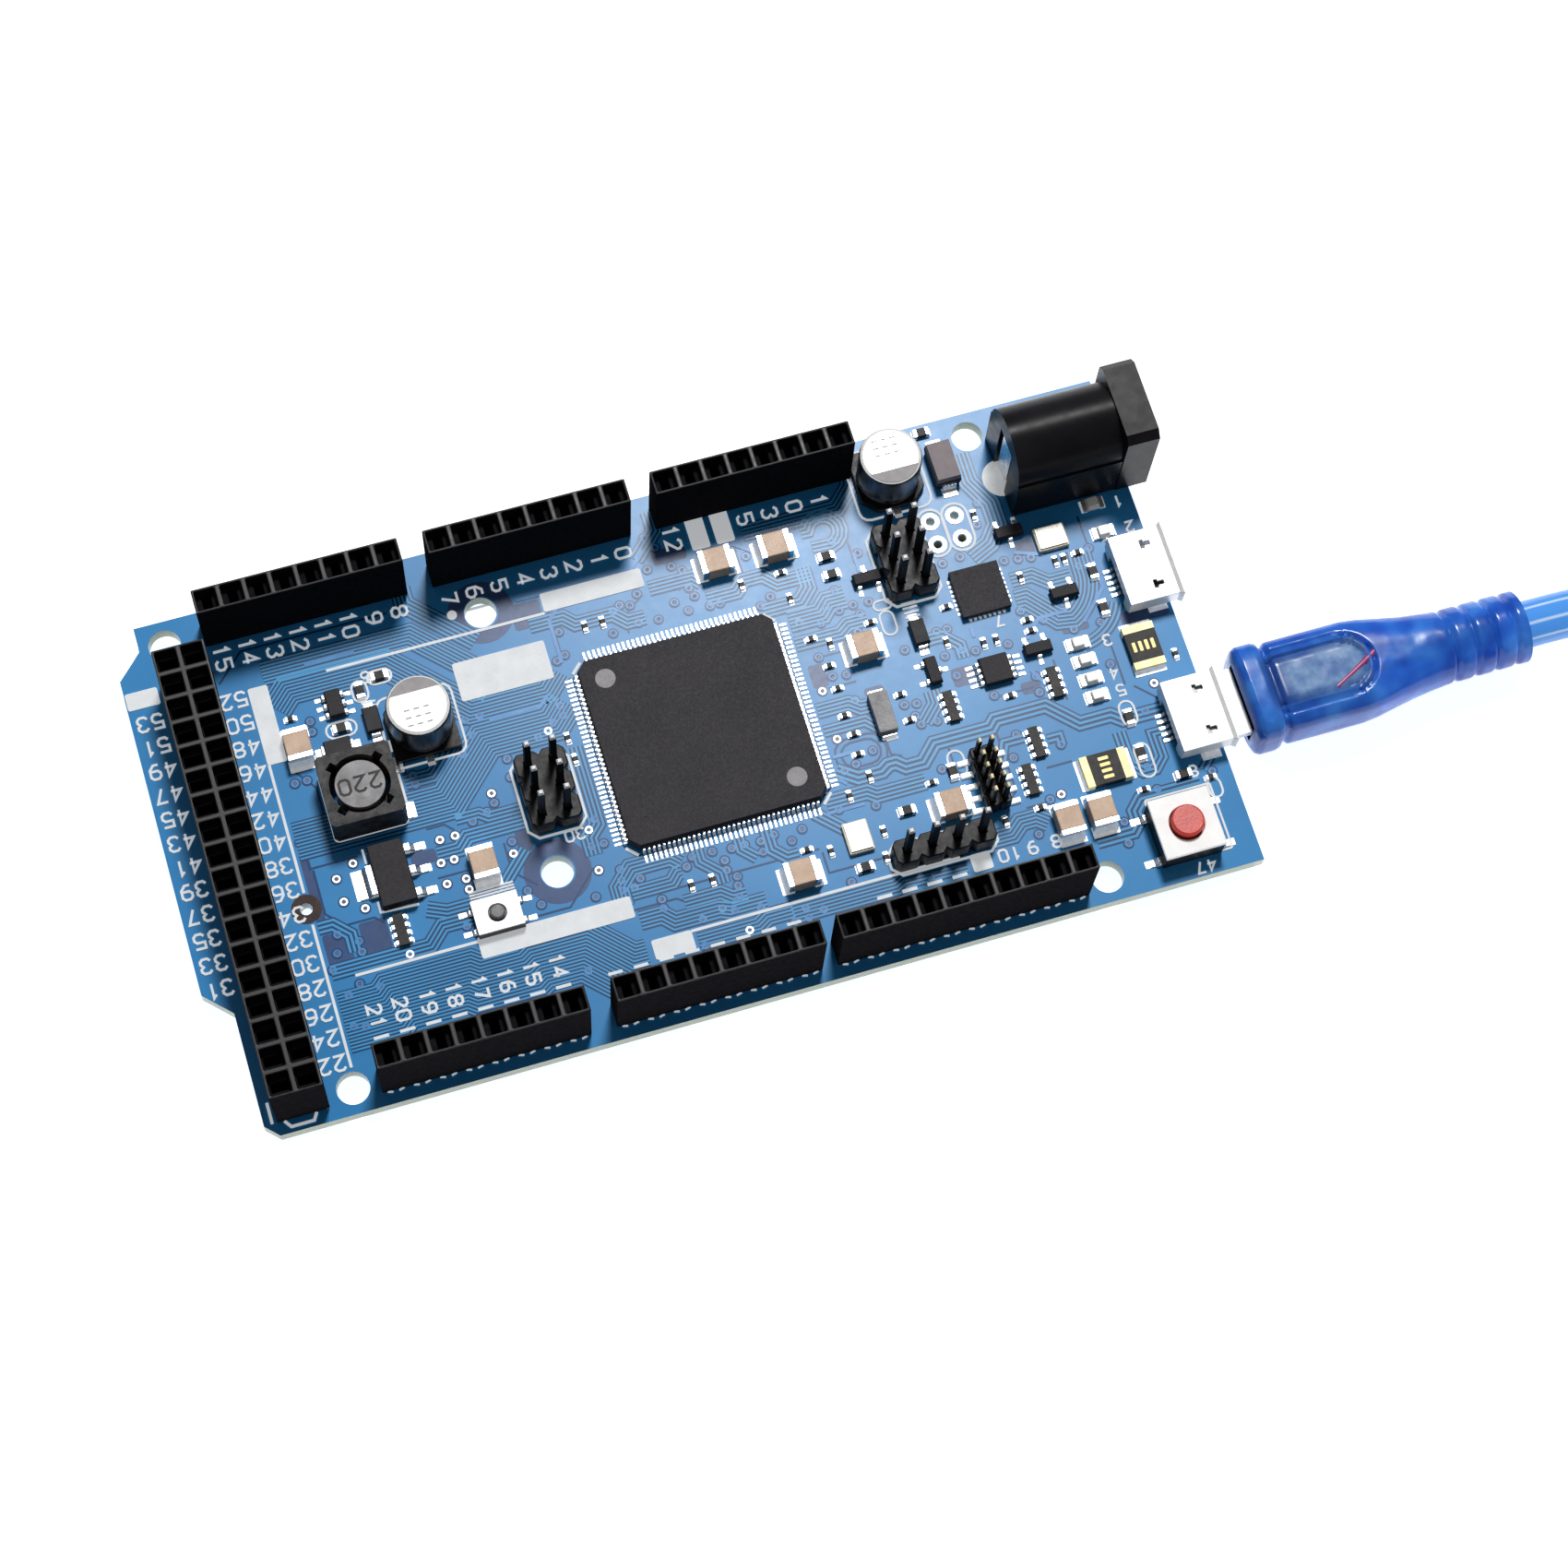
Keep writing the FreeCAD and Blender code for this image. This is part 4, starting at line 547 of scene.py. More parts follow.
# The CAD nodes of each material. The headers have their own moulding, and the rest are black plastic.
NODES_OF = {
    "solder_mask": ("circuit_board",),
    "socket_contact": ("header_end_contacts", "header_inner_contacts"),
    "header_pin": ("header_pins",),
    "fine_pin": ("jtag_pins",),
    "chip_resin": ("processor_body", "usb_bridge_body", "small_ic_bodies", "voltage_regulator_body",
                   "transistor_bodies"),
    "tinned_metal": ("processor_leads", "usb_bridge_pads", "small_part_leads", "chip_end_caps",
                     "usb_receptacle_contacts", "power_jack_terminals", "switch_terminals"),
    "diode_resin": ("diode_bodies",),
    "coated_ferrite": ("inductor_frame",),
    "ferrite": ("inductor_drum", "watch_crystal"),
    "enamelled_copper": ("inductor_winding",),
    "drawn_aluminium": ("capacitor_cans",),
    "tan_ceramic": ("ceramic_capacitor_bodies",),
    "resistor_black": ("chip_component_bodies", "resistor_array_bodies", "polyfuse_bodies"),
    "pale_gold_end": ("polyfuse_ends",),
    "white_ceramic": ("crystal_bases",),
    "crystal_lid": ("crystal_lids",),
    "milky_resin": ("led_bodies",),
    "nickel_plate": ("usb_receptacle_shells", "power_jack_pin", "erase_switch_cover"),
    "jack_moulding": ("power_jack_housing",),
    "white_plastic": ("reset_switch_cover", "usb_a_plug_tongue"),
    "spring_steel": ("reset_switch_dome", "erase_switch_dome", "usb_a_plug_shell"),
    "red_plastic": ("reset_button",),
    "grey_plastic": ("erase_button",),
    "plug_steel": ("micro_plug_shell",),
    "plug_vinyl": ("micro_plug_overmould", "usb_a_plug_overmould"),
}
MATERIAL_OF = {name: material for material, names in NODES_OF.items() for name in names}

# How far the sharpness is taken off the edges of each material, in millimetres.
SOFT_EDGES = {
    "black_moulding": 0.12, "header_moulding": 0.12, "chip_resin": 0.08, "tan_ceramic": 0.1,
    "tinned_metal": 0.03, "nickel_plate": 0.06, "resistor_black": 0.04, "milky_resin": 0.1,
    "white_plastic": 0.1, "white_ceramic": 0.08, "ferrite": 0.12,
}


def dress_nodes():
    """Gives every CAD node its material, and softens moulded and pressed edges."""
    for name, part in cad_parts.items():
        moulding = "header_moulding" if name.endswith("_header") else "black_moulding"
        material = MATERIAL_OF.get(name, moulding)
        part.data.materials.clear()
        part.data.materials.append(MATERIALS[material])
        if material in SOFT_EDGES:
            weld = part.modifiers.new("weld", "WELD")
            weld.merge_threshold = 1e-6
            bevel = part.modifiers.new("soften", "BEVEL")
            bevel.width = SOFT_EDGES[material] * MM
            bevel.segments = 2
            bevel.limit_method = "ANGLE"
            bevel.angle_limit = math.radians(40)
            bevel.use_clamp_overlap = True


# What is etched, printed and soldered on the board

# Each layer of a face, its height above the board and its material.
LAYERS = {
    "bare": (0.004, "mask_over_bare_laminate"), "gap": (0.016, "mask_over_laminate"),
    "moat": (0.028, "mask_over_laminate"), "hole": (0.040, "tented_bore"),
    "trace": (0.052, "mask_over_trace"), "ring": (0.064, "tented_ring"), "brown": (0.076, "brown_ring"),
    "pad": (0.088, "solder"), "ink": (0.100, "white_ink"),
}
# Shapes of one layer that overlap would flicker if their roofs coincided, so their heights take turns.
TURNS, TURN_HEIGHT = 25, 0.0004
# How deep the shapes go into the board.
SUNK = 0.012
BOARD_THICK = 1.6
# How much of a bundle's pitch its trace fills.
TRACE_SHARE = 0.53


class Art:
    """The art of one face of the board: one closed mesh for each layer."""

    def __init__(self, under=False):
        self.under = under
        self.meshes = {name: bmesh.new() for name in LAYERS}
        self.count = 0

    def span(self, layer):
        """The floor and roof of a layer's next shape."""
        self.count += 1
        high = LAYERS[layer][0] + TURN_HEIGHT * (self.count % TURNS)
        return (-BOARD_THICK - high, SUNK - BOARD_THICK) if self.under else (-SUNK, high)

    def line(self, layer, points, width, closed=False):
        ribbon(self.meshes[layer], points, width, *self.span(layer), closed)

    def area(self, layer, outline):
        prism(self.meshes[layer], outline, *self.span(layer))

    def box(self, layer, u0, v0, u1, v1, radius=0.12):
        self.area(layer, rounded(u0, v0, u1, v1, radius, 2))

    def ring(self, layer, u, v, outer, inner, sides=24):
        annulus(self.meshes[layer], u, v, outer, inner, *self.span(layer), sides)

    def frame_round(self, u0, v0, u1, v1, radius, width, steps=3):
        """A rectangle's outline in white ink."""
        self.line("ink", rounded(u0, v0, u1, v1, radius, steps), width, True)

    def via(self, u, v, bright):
        """A drilled and plated hole, tented with mask: its clearance, its ring and its bore."""
        self.area("moat", circle(u, v, 0.56))
        self.ring("pad" if bright else "ring", u, v, 0.4, 0.22, 16)
        self.area("hole", circle(u, v, 0.24))

    def bundle(self, count, pitch, points):
        """Parallel traces with the gaps between them, along one middle line."""
        self.line("gap", points, count * pitch + 0.12)
        for k in range(count):
            self.line("trace", beside(points, (k - (count - 1) / 2) * pitch), TRACE_SHARE * pitch)

    def write(self, text, u, v, tall, turn=180, wide=0.2):
        write(self.meshes["ink"], text, u, v, tall, turn, wide, *self.span("ink"), self.under)

    def finish(self):
        side = "under" if self.under else "top"
        for layer, mesh in self.meshes.items():
            if mesh.verts:
                finish_piece(f"{side}_{layer}", mesh, LAYERS[layer][1])
            else:
                mesh.free()


# The strokes of each digit on a grid 4 wide and 6 tall.
DIGIT_WIDE, DIGIT_TALL, DIGIT_STEP = 4, 6, 6
# Strokes that cross rise by this much each, so that their roofs never coincide.
STROKE_RISE = 0.0005
STROKES = {
    "0": [[(1, 0), (3, 0), (4, 1), (4, 5), (3, 6), (1, 6), (0, 5), (0, 1), (1, 0)]],
    "1": [[(0.8, 4.8), (2, 6), (2, 0)]],
    "2": [[(0, 5), (1, 6), (3, 6), (4, 5), (4, 4), (0, 0), (4, 0)]],
    "3": [[(0, 5), (1, 6), (3, 6), (4, 5), (4, 4), (3, 3.2), (4, 2), (4, 1), (3, 0), (1, 0), (0, 1)]],
    "4": [[(3, 0), (3, 6), (0, 2), (4, 2)]],
    "5": [[(4, 6), (0, 6), (0, 3.5), (3, 3.5), (4, 2.5), (4, 1), (3, 0), (1, 0), (0, 1)]],
    "6": [[(3.6, 6), (1.6, 6), (0, 4), (0, 1), (1, 0), (3, 0), (4, 1), (4, 2.4), (3, 3.4), (0.4, 3.4)]],
    "7": [[(0, 6), (4, 6), (1.5, 0)]],
    "8": [[(1, 3.1), (3, 3.1), (4, 4), (4, 5), (3, 6), (1, 6), (0, 5), (0, 4), (1, 3.1)],
          [(1, 3.1), (0, 2), (0, 1), (1, 0), (3, 0), (4, 1), (4, 2), (3, 3.1), (1, 3.1)]],
    "9": [[(0.4, 0), (2.4, 0), (4, 2), (4, 5), (3, 6), (1, 6), (0, 5), (0, 3.6), (1, 2.6), (3.6, 2.6)]],
}


def write(mesh, text, u, v, tall, turn, wide, low, high, mirrored=False):
    """Digits in single strokes, centred on a place and turned by degrees."""
    scale, spin = tall / DIGIT_TALL, math.radians(turn)
    start = -(DIGIT_STEP * len(text) - (DIGIT_STEP - DIGIT_WIDE)) / 2
    for k, mark in enumerate(text):
        for stroke in STROKES[mark]:
            points = []
            for x, y in stroke:
                x, y = (start + DIGIT_STEP * k + x) * scale, (y - DIGIT_TALL / 2) * scale
                if mirrored:
                    x = -x
                points.append((u + x * math.cos(spin) - y * math.sin(spin),
                               v + x * math.sin(spin) + y * math.cos(spin)))
            closed = stroke[0] == stroke[-1]
            ribbon(mesh, points[:-1] if closed else points, wide, low, high, closed)
            high += STROKE_RISE


# The headers' grid, and where the lower ones start and how many ways they have.
GRID = 2.54
LOWER_HEADERS = [(15.24, 8), (38.1, 8), (59.944, 10)]

# Bundles of traces on the top face: how many, their pitch, and their middle line.
BUNDLES = [
    (7, 0.36, [(13.4, 45.3), (28.2, 45.3), (33.2, 40.3), (33.2, 38.4), (34.2, 37.4)]),
    (9, 0.36, [(13.8, 41.4), (15.4, 43.0), (25.2, 43.0), (32.0, 36.2), (39.4, 36.2), (41.0, 37.8)]),
    (5, 0.4, [(28.6, 50.4), (28.6, 48.6), (34.3, 42.9)]),
    (11, 0.36, [(12.3, 27.6), (27.4, 27.6), (32.4, 32.6), (39.2, 32.6), (41.0, 34.4)]),
    (4, 0.4, [(23.9, 30.6), (26.6, 30.6), (29.4, 33.4), (29.4, 34.6)]),
    (4, 0.4, [(25.0, 22.6), (27.2, 22.6), (28.2, 23.6), (33.9, 23.6)]),
    (3, 0.4, [(27.6, 25.6), (29.9, 25.6), (30.7, 25.0), (33.9, 25.0)]),
    (4, 0.42, [(40.5, 29.6), (40.5, 21.4), (39.4, 20.3), (39.4, 18.4)]),
    (3, 0.42, [(28.0, 15.6), (31.0, 18.6), (33.2, 20.8)]),
    (18, 0.34, [(12.2, 8.9), (16.8, 8.9), (17.6, 9.6), (24.6, 9.6), (25.4, 9.0), (30.4, 9.0),
                (31.2, 9.5), (36.0, 9.5), (39.6, 5.9), (41.6, 5.9)]),
    (4, 0.4, [(12.3, 14.0), (22.0, 14.0), (23.6, 15.6), (27.0, 15.6)]),
    (3, 0.45, [(12.2, 18.6), (13.6, 18.6), (15.0, 17.2), (15.0, 15.4)]),
    (4, 0.4, [(22.6, 17.6), (24.4, 16.8), (27.6, 16.8)]),
    (5, 0.38, [(40.8, 12.6), (40.8, 14.6), (42.4, 16.2), (46.4, 16.2), (47.2, 15.4)]),
    (4, 0.38, [(41.8, 13.7), (45.8, 13.7), (46.6, 14.5), (47.0, 14.5)]),
    (5, 0.38, [(41.8, 10.8), (44.0, 10.8), (45.0, 9.8), (49.4, 9.8), (50.4, 9.4), (54.0, 9.4)]),
    (4, 0.38, [(46.4, 11.4), (50.0, 11.4), (51.0, 10.6), (52.4, 10.6)]),
    (5, 0.36, [(46.6, 7.2), (52.6, 7.2), (53.6, 7.8), (56.2, 7.8)]),
    (6, 0.36, [(56.0, 7.4), (66.4, 7.4), (67.2, 7.8), (73.6, 7.8)]),
    (3, 0.45, [(61.0, 16.6), (64.0, 13.6), (64.0, 13.2)]),
    (4, 0.42, [(62.4, 17.3), (66.6, 17.3), (67.4, 16.7), (72.4, 16.7)]),
    (3, 0.52, [(64.4, 20.2), (66.2, 18.9), (68.6, 18.9), (69.4, 19.4), (70.2, 19.4), (71.0, 18.7),
               (72.8, 18.7), (74.4, 20.3), (80.2, 20.3), (80.9, 21.0), (86.1, 21.0), (88.8, 18.3),
               (92.0, 18.3), (93.0, 17.5), (97.0, 17.5)]),
    (4, 0.4, [(64.4, 26.6), (67.6, 26.6), (68.6, 25.8), (69.4, 25.8)]),
    (3, 0.42, [(64.4, 24.4), (68.6, 24.4), (69.8, 23.2)]),
    (6, 0.4, [(64.5, 36.4), (67.8, 36.4), (68.8, 37.4), (70.6, 37.4)]),
    (4, 0.4, [(64.4, 33.9), (69.0, 33.9), (70.0, 34.6), (72.0, 34.6)]),
    (4, 0.4, [(57.4, 40.9), (60.4, 40.9), (61.4, 41.9), (63.4, 41.9), (64.6, 40.7), (68.0, 40.7)]),
    (4, 0.42, [(62.3, 38.2), (66.2, 38.2), (67.4, 39.4), (67.4, 41.6)]),
    (4, 0.4, [(52.2, 43.6), (56.6, 43.6), (57.4, 42.8)]),
    (5, 0.38, [(62.8, 46.8), (72.6, 46.8), (74.6, 48.8), (75.0, 50.2)]),
    (4, 0.42, [(68.4, 45.4), *arc(70.6, 44.8, 1.7, 160, -80), (69.0, 43.2)]),
    (4, 0.4, [(39.8, 43.0), (43.2, 43.0), (44.2, 42.0), (48.0, 42.0), (49.2, 40.8), (51.0, 40.8)]),
    (4, 0.4, [(51.8, 46.9), (54.4, 49.5), (54.4, 51.6)]),
    (5, 0.42, [(86.2, 49.2), (86.2, 46.0), (87.6, 43.2), (87.6, 40.8), (86.2, 39.0), (84.0, 38.0)]),
    (4, 0.4, [(87.0, 34.6), (89.2, 34.6), (90.6, 33.4), (92.9, 33.4)]),
    (6, 0.4, [(86.8, 32.3), (87.8, 32.3), (90.3, 29.4), *arc(89.4, 33.6, 5.0, -62, -6), (94.5, 36.0)]),
    (3, 0.45, arc(91.2, 31.6, 5.6, -84, -22)),
    (4, 0.4, [(74.2, 22.6), (75.8, 24.2), (75.8, 25.6)]),
    (5, 0.38, [(76.6, 9.2), (78.8, 9.2), (80.0, 10.2), (81.6, 10.2), (82.6, 9.4)]),
    (3, 0.5, [(86.5, 6.2), (90.2, 6.2), (91.0, 7.0), (91.0, 8.2), (92.0, 9.2), (98.2, 9.2)]),
    (3, 0.45, [(92.2, 16.4), (92.2, 12.8), (93.2, 11.8), (94.4, 11.8), (95.4, 12.8), (95.4, 15.2),
               (97.0, 15.2)]),
    (2, 0.5, [(80.2, 16.6), (81.0, 18.4), (83.0, 18.4)]),
    (2, 0.5, [(85.2, 17.6), (86.4, 17.6), (86.4, 16.6)]),
    (3, 0.45, [(77.0, 30.8), (78.6, 30.8), (80.0, 29.4), (80.0, 28.0)]),
    (3, 0.45, [(56.0, 16.4), (56.0, 14.2), (57.2, 13.0), (58.4, 13.0)]),
    (3, 0.42, [(49.0, 16.6), (49.0, 14.9), (50.6, 13.3), (50.6, 12.2)]),
    (3, 0.42, [(53.2, 16.4), (53.2, 15.0), (54.4, 13.8)]),
    (2, 0.5, [(98.9, 10.4), (99.9, 11.4), (99.9, 19.0)]),
]

# Dark isolation lines in the copper pour.
GAP_LINES = [
    [(12.9, 26.0), (12.9, 24.6), (13.6, 24.6), (17.6, 24.6)],
    [(13.2, 24.4), (13.2, 19.8), (14.8, 18.2), (17.6, 18.2), (18.4, 17.4)],
    [(24.6, 25.4), (26.4, 25.4), (27.2, 24.6)], [(24.4, 20.3), (27.4, 20.3)],
    [(31.4, 22.0), (31.4, 19.0), (33.4, 17.0)], [(28.6, 14.0), (35.8, 14.0), (39.0, 17.2)],
    [(40.0, 12.0), (45.8, 12.0), (46.6, 11.4)], [(46.0, 13.0), (60.4, 13.0)],
    [(60.6, 12.6), (60.6, 10.4), (67.0, 10.4)], [(70.0, 22.8), (70.0, 20.4), (71.0, 19.9)],
    [(75.6, 20.8), (75.6, 17.0), (77.0, 15.6)], [(80.6, 19.6), (80.6, 13.4), (79.4, 12.2)],
    [(84.2, 14.8), (86.8, 14.8)], [(81.0, 11.4), (83.6, 11.4)], [(95.2, 20.6), (97.4, 18.4)],
    [(88.4, 25.4), (88.4, 21.0)], [(94.4, 21.0), (94.4, 27.0)], [(81.2, 23.2), (85.6, 23.2)],
    [(72.6, 43.8), (72.6, 40.6)], [(42.0, 45.0), (42.0, 38.6)], [(55.0, 42.6), (57.0, 44.6)],
    [(49.0, 39.6), (49.0, 41.4), (51.4, 43.2)], [(61.6, 45.6), (61.6, 42.4)],
    [(66.6, 32.0), (69.2, 32.0)], [(66.2, 28.6), (69.0, 28.6)], [(95.6, 35.2), (95.6, 39.4)],
    [(14.0, 34.6), (15.6, 32.4), (15.6, 28.8)], [(24.2, 27.0), (24.2, 34.2)],
    [(9.2, 45.4), (12.0, 48.2), (26.6, 48.2)], [(35.4, 9.6), (38.6, 9.6)],
]

# Laminate without copper: the mask is dull and darker there.
BARE_AREAS = [
    (12.2, 19.0, 13.1, 26.3), (12.3, 14.6, 14.8, 17.8), (15.9, 14.8, 18.6, 18.0), (22.4, 22.0, 24.9, 23.4),
    (32.6, 20.6, 34.0, 22.8), (24.9, 27.2, 26.4, 28.4), (69.4, 26.7, 71.4, 27.6), (84.4, 22.6, 86.4, 23.9),
    (96.2, 26.9, 101.2, 28.3), (12.1, 27.0, 15.6, 27.9), (38.4, 42.8, 41.4, 45.6), (53.4, 45.8, 56.8, 47.4),
    (64.8, 28.9, 66.4, 31.4), (78.2, 25.2, 80.4, 27.2), (88.6, 36.8, 90.4, 38.4), (90.2, 27.6, 93.0, 28.6),
]

# Pale traces where the light catches bare copper edges under thin mask.
PALE_LINES = [
    [(33.4, 34.6), (38.6, 34.6), (39.4, 35.4)], [(43.2, 44.4), (41.8, 43.0), (41.8, 38.4)],
    [(39.2, 46.0), (43.2, 46.0)], [(17.6, 45.1), (22.6, 45.1)], [(64.4, 21.6), (66.4, 21.6)],
    [(70.2, 25.9), (71.4, 24.6)], [(61.4, 46.0), (63.8, 44.2)], [(92.6, 28.4), (95.6, 31.4), (95.6, 34.4)],
    [(86.6, 28.2), (88.4, 30.0), (91.4, 30.0)], [(88.2, 37.4), (91.0, 36.4)], [(81.6, 29.8), (81.6, 30.9)],
    [(72.8, 39.6), (72.8, 41.8)], [(63.0, 19.2), (64.4, 19.2), (65.0, 18.6)], [(85.9, 25.0), (87.0, 22.8)],
    [(62.2, 16.2), (66.0, 16.2)], [(49.6, 44.6), (52.8, 47.8)],
]

VIAS = [
    (16.7, 39.2), (16.6, 38.1), (13.7, 33.4), (14.9, 33.4), (24.8, 31.1), (24.8, 30.1), (13.8, 17.5),
    (15.6, 16.3), (13.3, 15.7), (12.5, 14.2), (15.6, 15.2), (14.6, 12.2), (13.3, 11.4), (16.4, 11.4),
    (13.0, 8.3), (14.1, 8.0), (25.8, 14.9), (22.0, 19.0), (31.1, 35.2), (32.6, 35.2), (31.4, 33.5),
    (30.0, 31.8), (34.0, 30.2), (33.8, 28.3), (37.5, 31.5), (39.3, 32.6), (40.4, 34.1), (40.4, 33.0),
    (42.4, 41.6), (42.3, 39.1), (41.4, 38.7), (48.9, 42.7), (48.1, 42.2), (50.9, 43.4), (49.9, 42.4),
    (47.5, 40.0), (50.2, 40.4), (31.6, 26.2), (30.7, 25.5), (29.1, 24.9), (32.2, 21.9), (32.3, 16.7),
    (33.2, 15.0), (38.4, 14.3), (39.4, 19.3), (40.6, 19.3), (40.4, 21.9), (43.0, 14.9), (41.4, 16.3),
    (41.2, 15.2), (42.2, 14.2), (41.1, 14.2), (44.4, 12.3), (44.3, 11.4), (48.4, 15.6), (47.6, 14.8),
    (50.4, 15.6), (51.3, 14.4), (49.7, 9.8), (47.6, 9.3), (50.8, 9.3), (35.7, 7.4), (47.1, 6.7),
    (51.6, 10.5), (54.2, 41.5), (52.2, 40.2), (56.0, 42.6), (56.3, 41.6), (55.3, 40.3), (57.5, 40.2),
    (58.5, 40.2), (52.6, 45.6), (55.0, 45.3), (55.9, 44.6), (54.0, 47.7), (53.2, 49.0), (62.4, 44.3),
    (63.5, 39.5), (62.3, 38.8), (71.1, 43.5), (73.2, 41.6), (69.8, 38.4), (68.4, 36.9), (69.6, 36.2),
    (67.5, 35.4), (65.4, 36.1), (71.1, 36.4), (72.7, 36.3), (71.5, 35.3), (66.2, 32.0), (66.9, 29.7),
    (68.3, 29.5), (70.7, 33.5), (74.6, 30.4), (68.3, 26.7), (68.4, 21.2), (66.4, 20.3), (72.8, 24.9),
    (74.0, 24.7), (73.5, 23.5), (73.8, 22.5), (75.4, 22.4), (65.1, 19.9), (74.3, 17.5), (63.4, 16.3),
    (67.0, 15.7), (52.3, 15.4), (53.6, 15.4), (55.2, 15.3), (56.6, 15.6), (59.4, 15.4), (51.2, 13.4),
    (55.1, 14.2), (58.1, 14.5), (52.0, 12.5), (51.8, 11.6), (53.3, 8.9), (57.4, 7.6), (57.4, 6.6),
    (56.0, 6.6), (59.0, 7.0), (62.4, 8.9), (66.6, 10.3), (69.9, 7.3), (81.0, 38.2), (82.9, 38.4),
    (87.0, 36.8), (88.4, 36.6), (89.7, 36.4), (86.4, 43.5), (85.6, 41.3), (95.6, 35.8), (94.0, 34.2),
    (86.9, 31.2), (78.2, 31.4), (79.3, 31.4), (78.2, 28.7), (80.0, 28.8), (81.3, 28.4), (78.7, 26.4),
    (84.6, 28.2), (88.8, 29.7), (91.4, 27.9), (94.2, 27.9), (81.6, 23.4), (86.0, 22.5), (81.4, 16.7),
    (86.3, 16.7), (82.4, 18.9), (93.7, 23.4), (83.5, 11.6), (81.3, 8.5), (89.4, 5.2), (89.7, 7.4),
    (93.9, 9.7), (93.7, 12.2), (99.7, 10.0), (95.4, 17.7), (86.2, 24.2),
]
BRIGHT_VIAS = [
    (17.0, 24.0), (15.1, 22.9), (15.2, 20.5), (17.0, 19.3), (25.6, 24.0), (27.1, 24.0), (25.1, 21.7),
    (26.4, 21.7), (25.1, 19.5), (27.0, 19.5), (27.0, 18.4), (19.9, 13.7), (32.0, 20.7), (39.6, 21.0),
    (39.4, 16.8), (38.6, 31.9), (31.6, 27.2), (51.6, 7.0), (65.4, 23.3), (65.5, 28.5), (84.7, 11.8),
    (97.2, 20.3),
]

UNDER_BUNDLES = [
    (14, 0.4, [(12.0, 24.0), (22.0, 24.0), (30.0, 32.0), (52.0, 32.0), (58.0, 38.0), (70.0, 38.0)]),
    (10, 0.4, [(14.0, 9.0), (34.0, 9.0), (40.0, 15.0), (60.0, 15.0), (66.0, 9.5), (84.0, 9.5)]),
    (8, 0.4, [(12.0, 44.6), (30.0, 44.6), (38.0, 40.0), (54.0, 40.0)]),
    (6, 0.5, [(62.0, 24.0), (74.0, 24.0), (80.0, 30.0), (93.0, 30.0)]),
    (5, 0.5, [(66.0, 44.0), (76.0, 44.0), (80.0, 40.0), (86.0, 40.0)]),
    (4, 0.6, [(88.0, 8.0), (92.0, 12.0), (92.0, 24.0), (96.0, 28.0), (96.0, 36.0)]),
]

# White ink on the top face.
BLANK_BLOCKS = [
    (0.1, 45.0, 3.3, 46.8), (11.65, 35.9, 13.6, 44.1), (31.4, 37.1, 40.7, 41.2), (41.6, 44.0, 51.9, 46.0),
    (26.4, 11.3, 41.5, 13.5), (42.2, 6.6, 46.2, 8.6), (74.1, 6.5, 76.1, 8.3),
]
RULES = [
    [(11.78, 35.9), (11.78, 22.4)], [(11.78, 19.1), (11.78, 4.5)], [(19.5, 43.9), (41.6, 43.9)],
    [(14.4, 13.1), (26.4, 13.1)], [(46.2, 8.45), (73.2, 8.45)],
    [(4.5, 1.25), (5.0, 0.55), (7.2, 0.55), (7.6, 1.25)], [(3.35, 1.3), (3.35, 3.4)],
    [(23.5, 28.6), (23.5, 31.6)], [(23.5, 34.0), (23.5, 35.2)], [(8.7, 1.3), (8.7, 3.4)],
]
# Grey rules inside the blank blocks, where names would stand.
NAME_RULES = [(32.6, 39.4, 39.1), (43.0, 50.6, 45.0), (28.0, 40.0, 12.3), (43.0, 45.4, 7.6)]
PIN_HEADER_FRAMES = [(33.95, 21.5, 39.75, 29.8), (74.35, 35.0, 80.15, 43.4), (66.5, 8.15, 77.3, 11.35)]
CAN_PLACES = [(26.9, 35.8), (78.4, 48.4)]
# The middle and size of the rings round small chips.
RINGED_CHIPS = [
    (19.4, 37.6, 3.0, 1.6), (22.1, 40.9, 1.5, 2.2), (24.3, 41.9, 2.4, 1.4), (75.9, 17.6, 1.6, 2.8),
    (73.9, 33.6, 1.4, 2.6), (73.9, 35.6, 1.8, 1.0), (93.7, 12.9, 1.5, 3.6), (93.7, 18.0, 1.5, 2.6),
    (99.4, 8.3, 1.3, 2.0),
]
PART_NUMBERS = [
    (38.2, 20.9, "30"), (100.0, 39.9, "1"), (100.3, 36.9, "2"), (94.2, 25.9, "3"), (93.7, 22.4, "4"),
    (93.8, 20.5, "5"), (23.0, 42.2, "6"), (95.9, 0.9, "47"), (97.9, 10.5, "8"), (84.6, 30.8, "7"),
]
# Combs of four short lines between the pads of arrays: ends, first height, step and width.
COMBS = [(21.9, 23.3, 38.25, 0.45, 0.2), (75.7, 77.2, 33.6, 0.5, 0.2), (70.0, 71.2, 21.8, 0.35, 0.16),
         (26.8, 31.2, 17.1, 0.3, 0.18)]


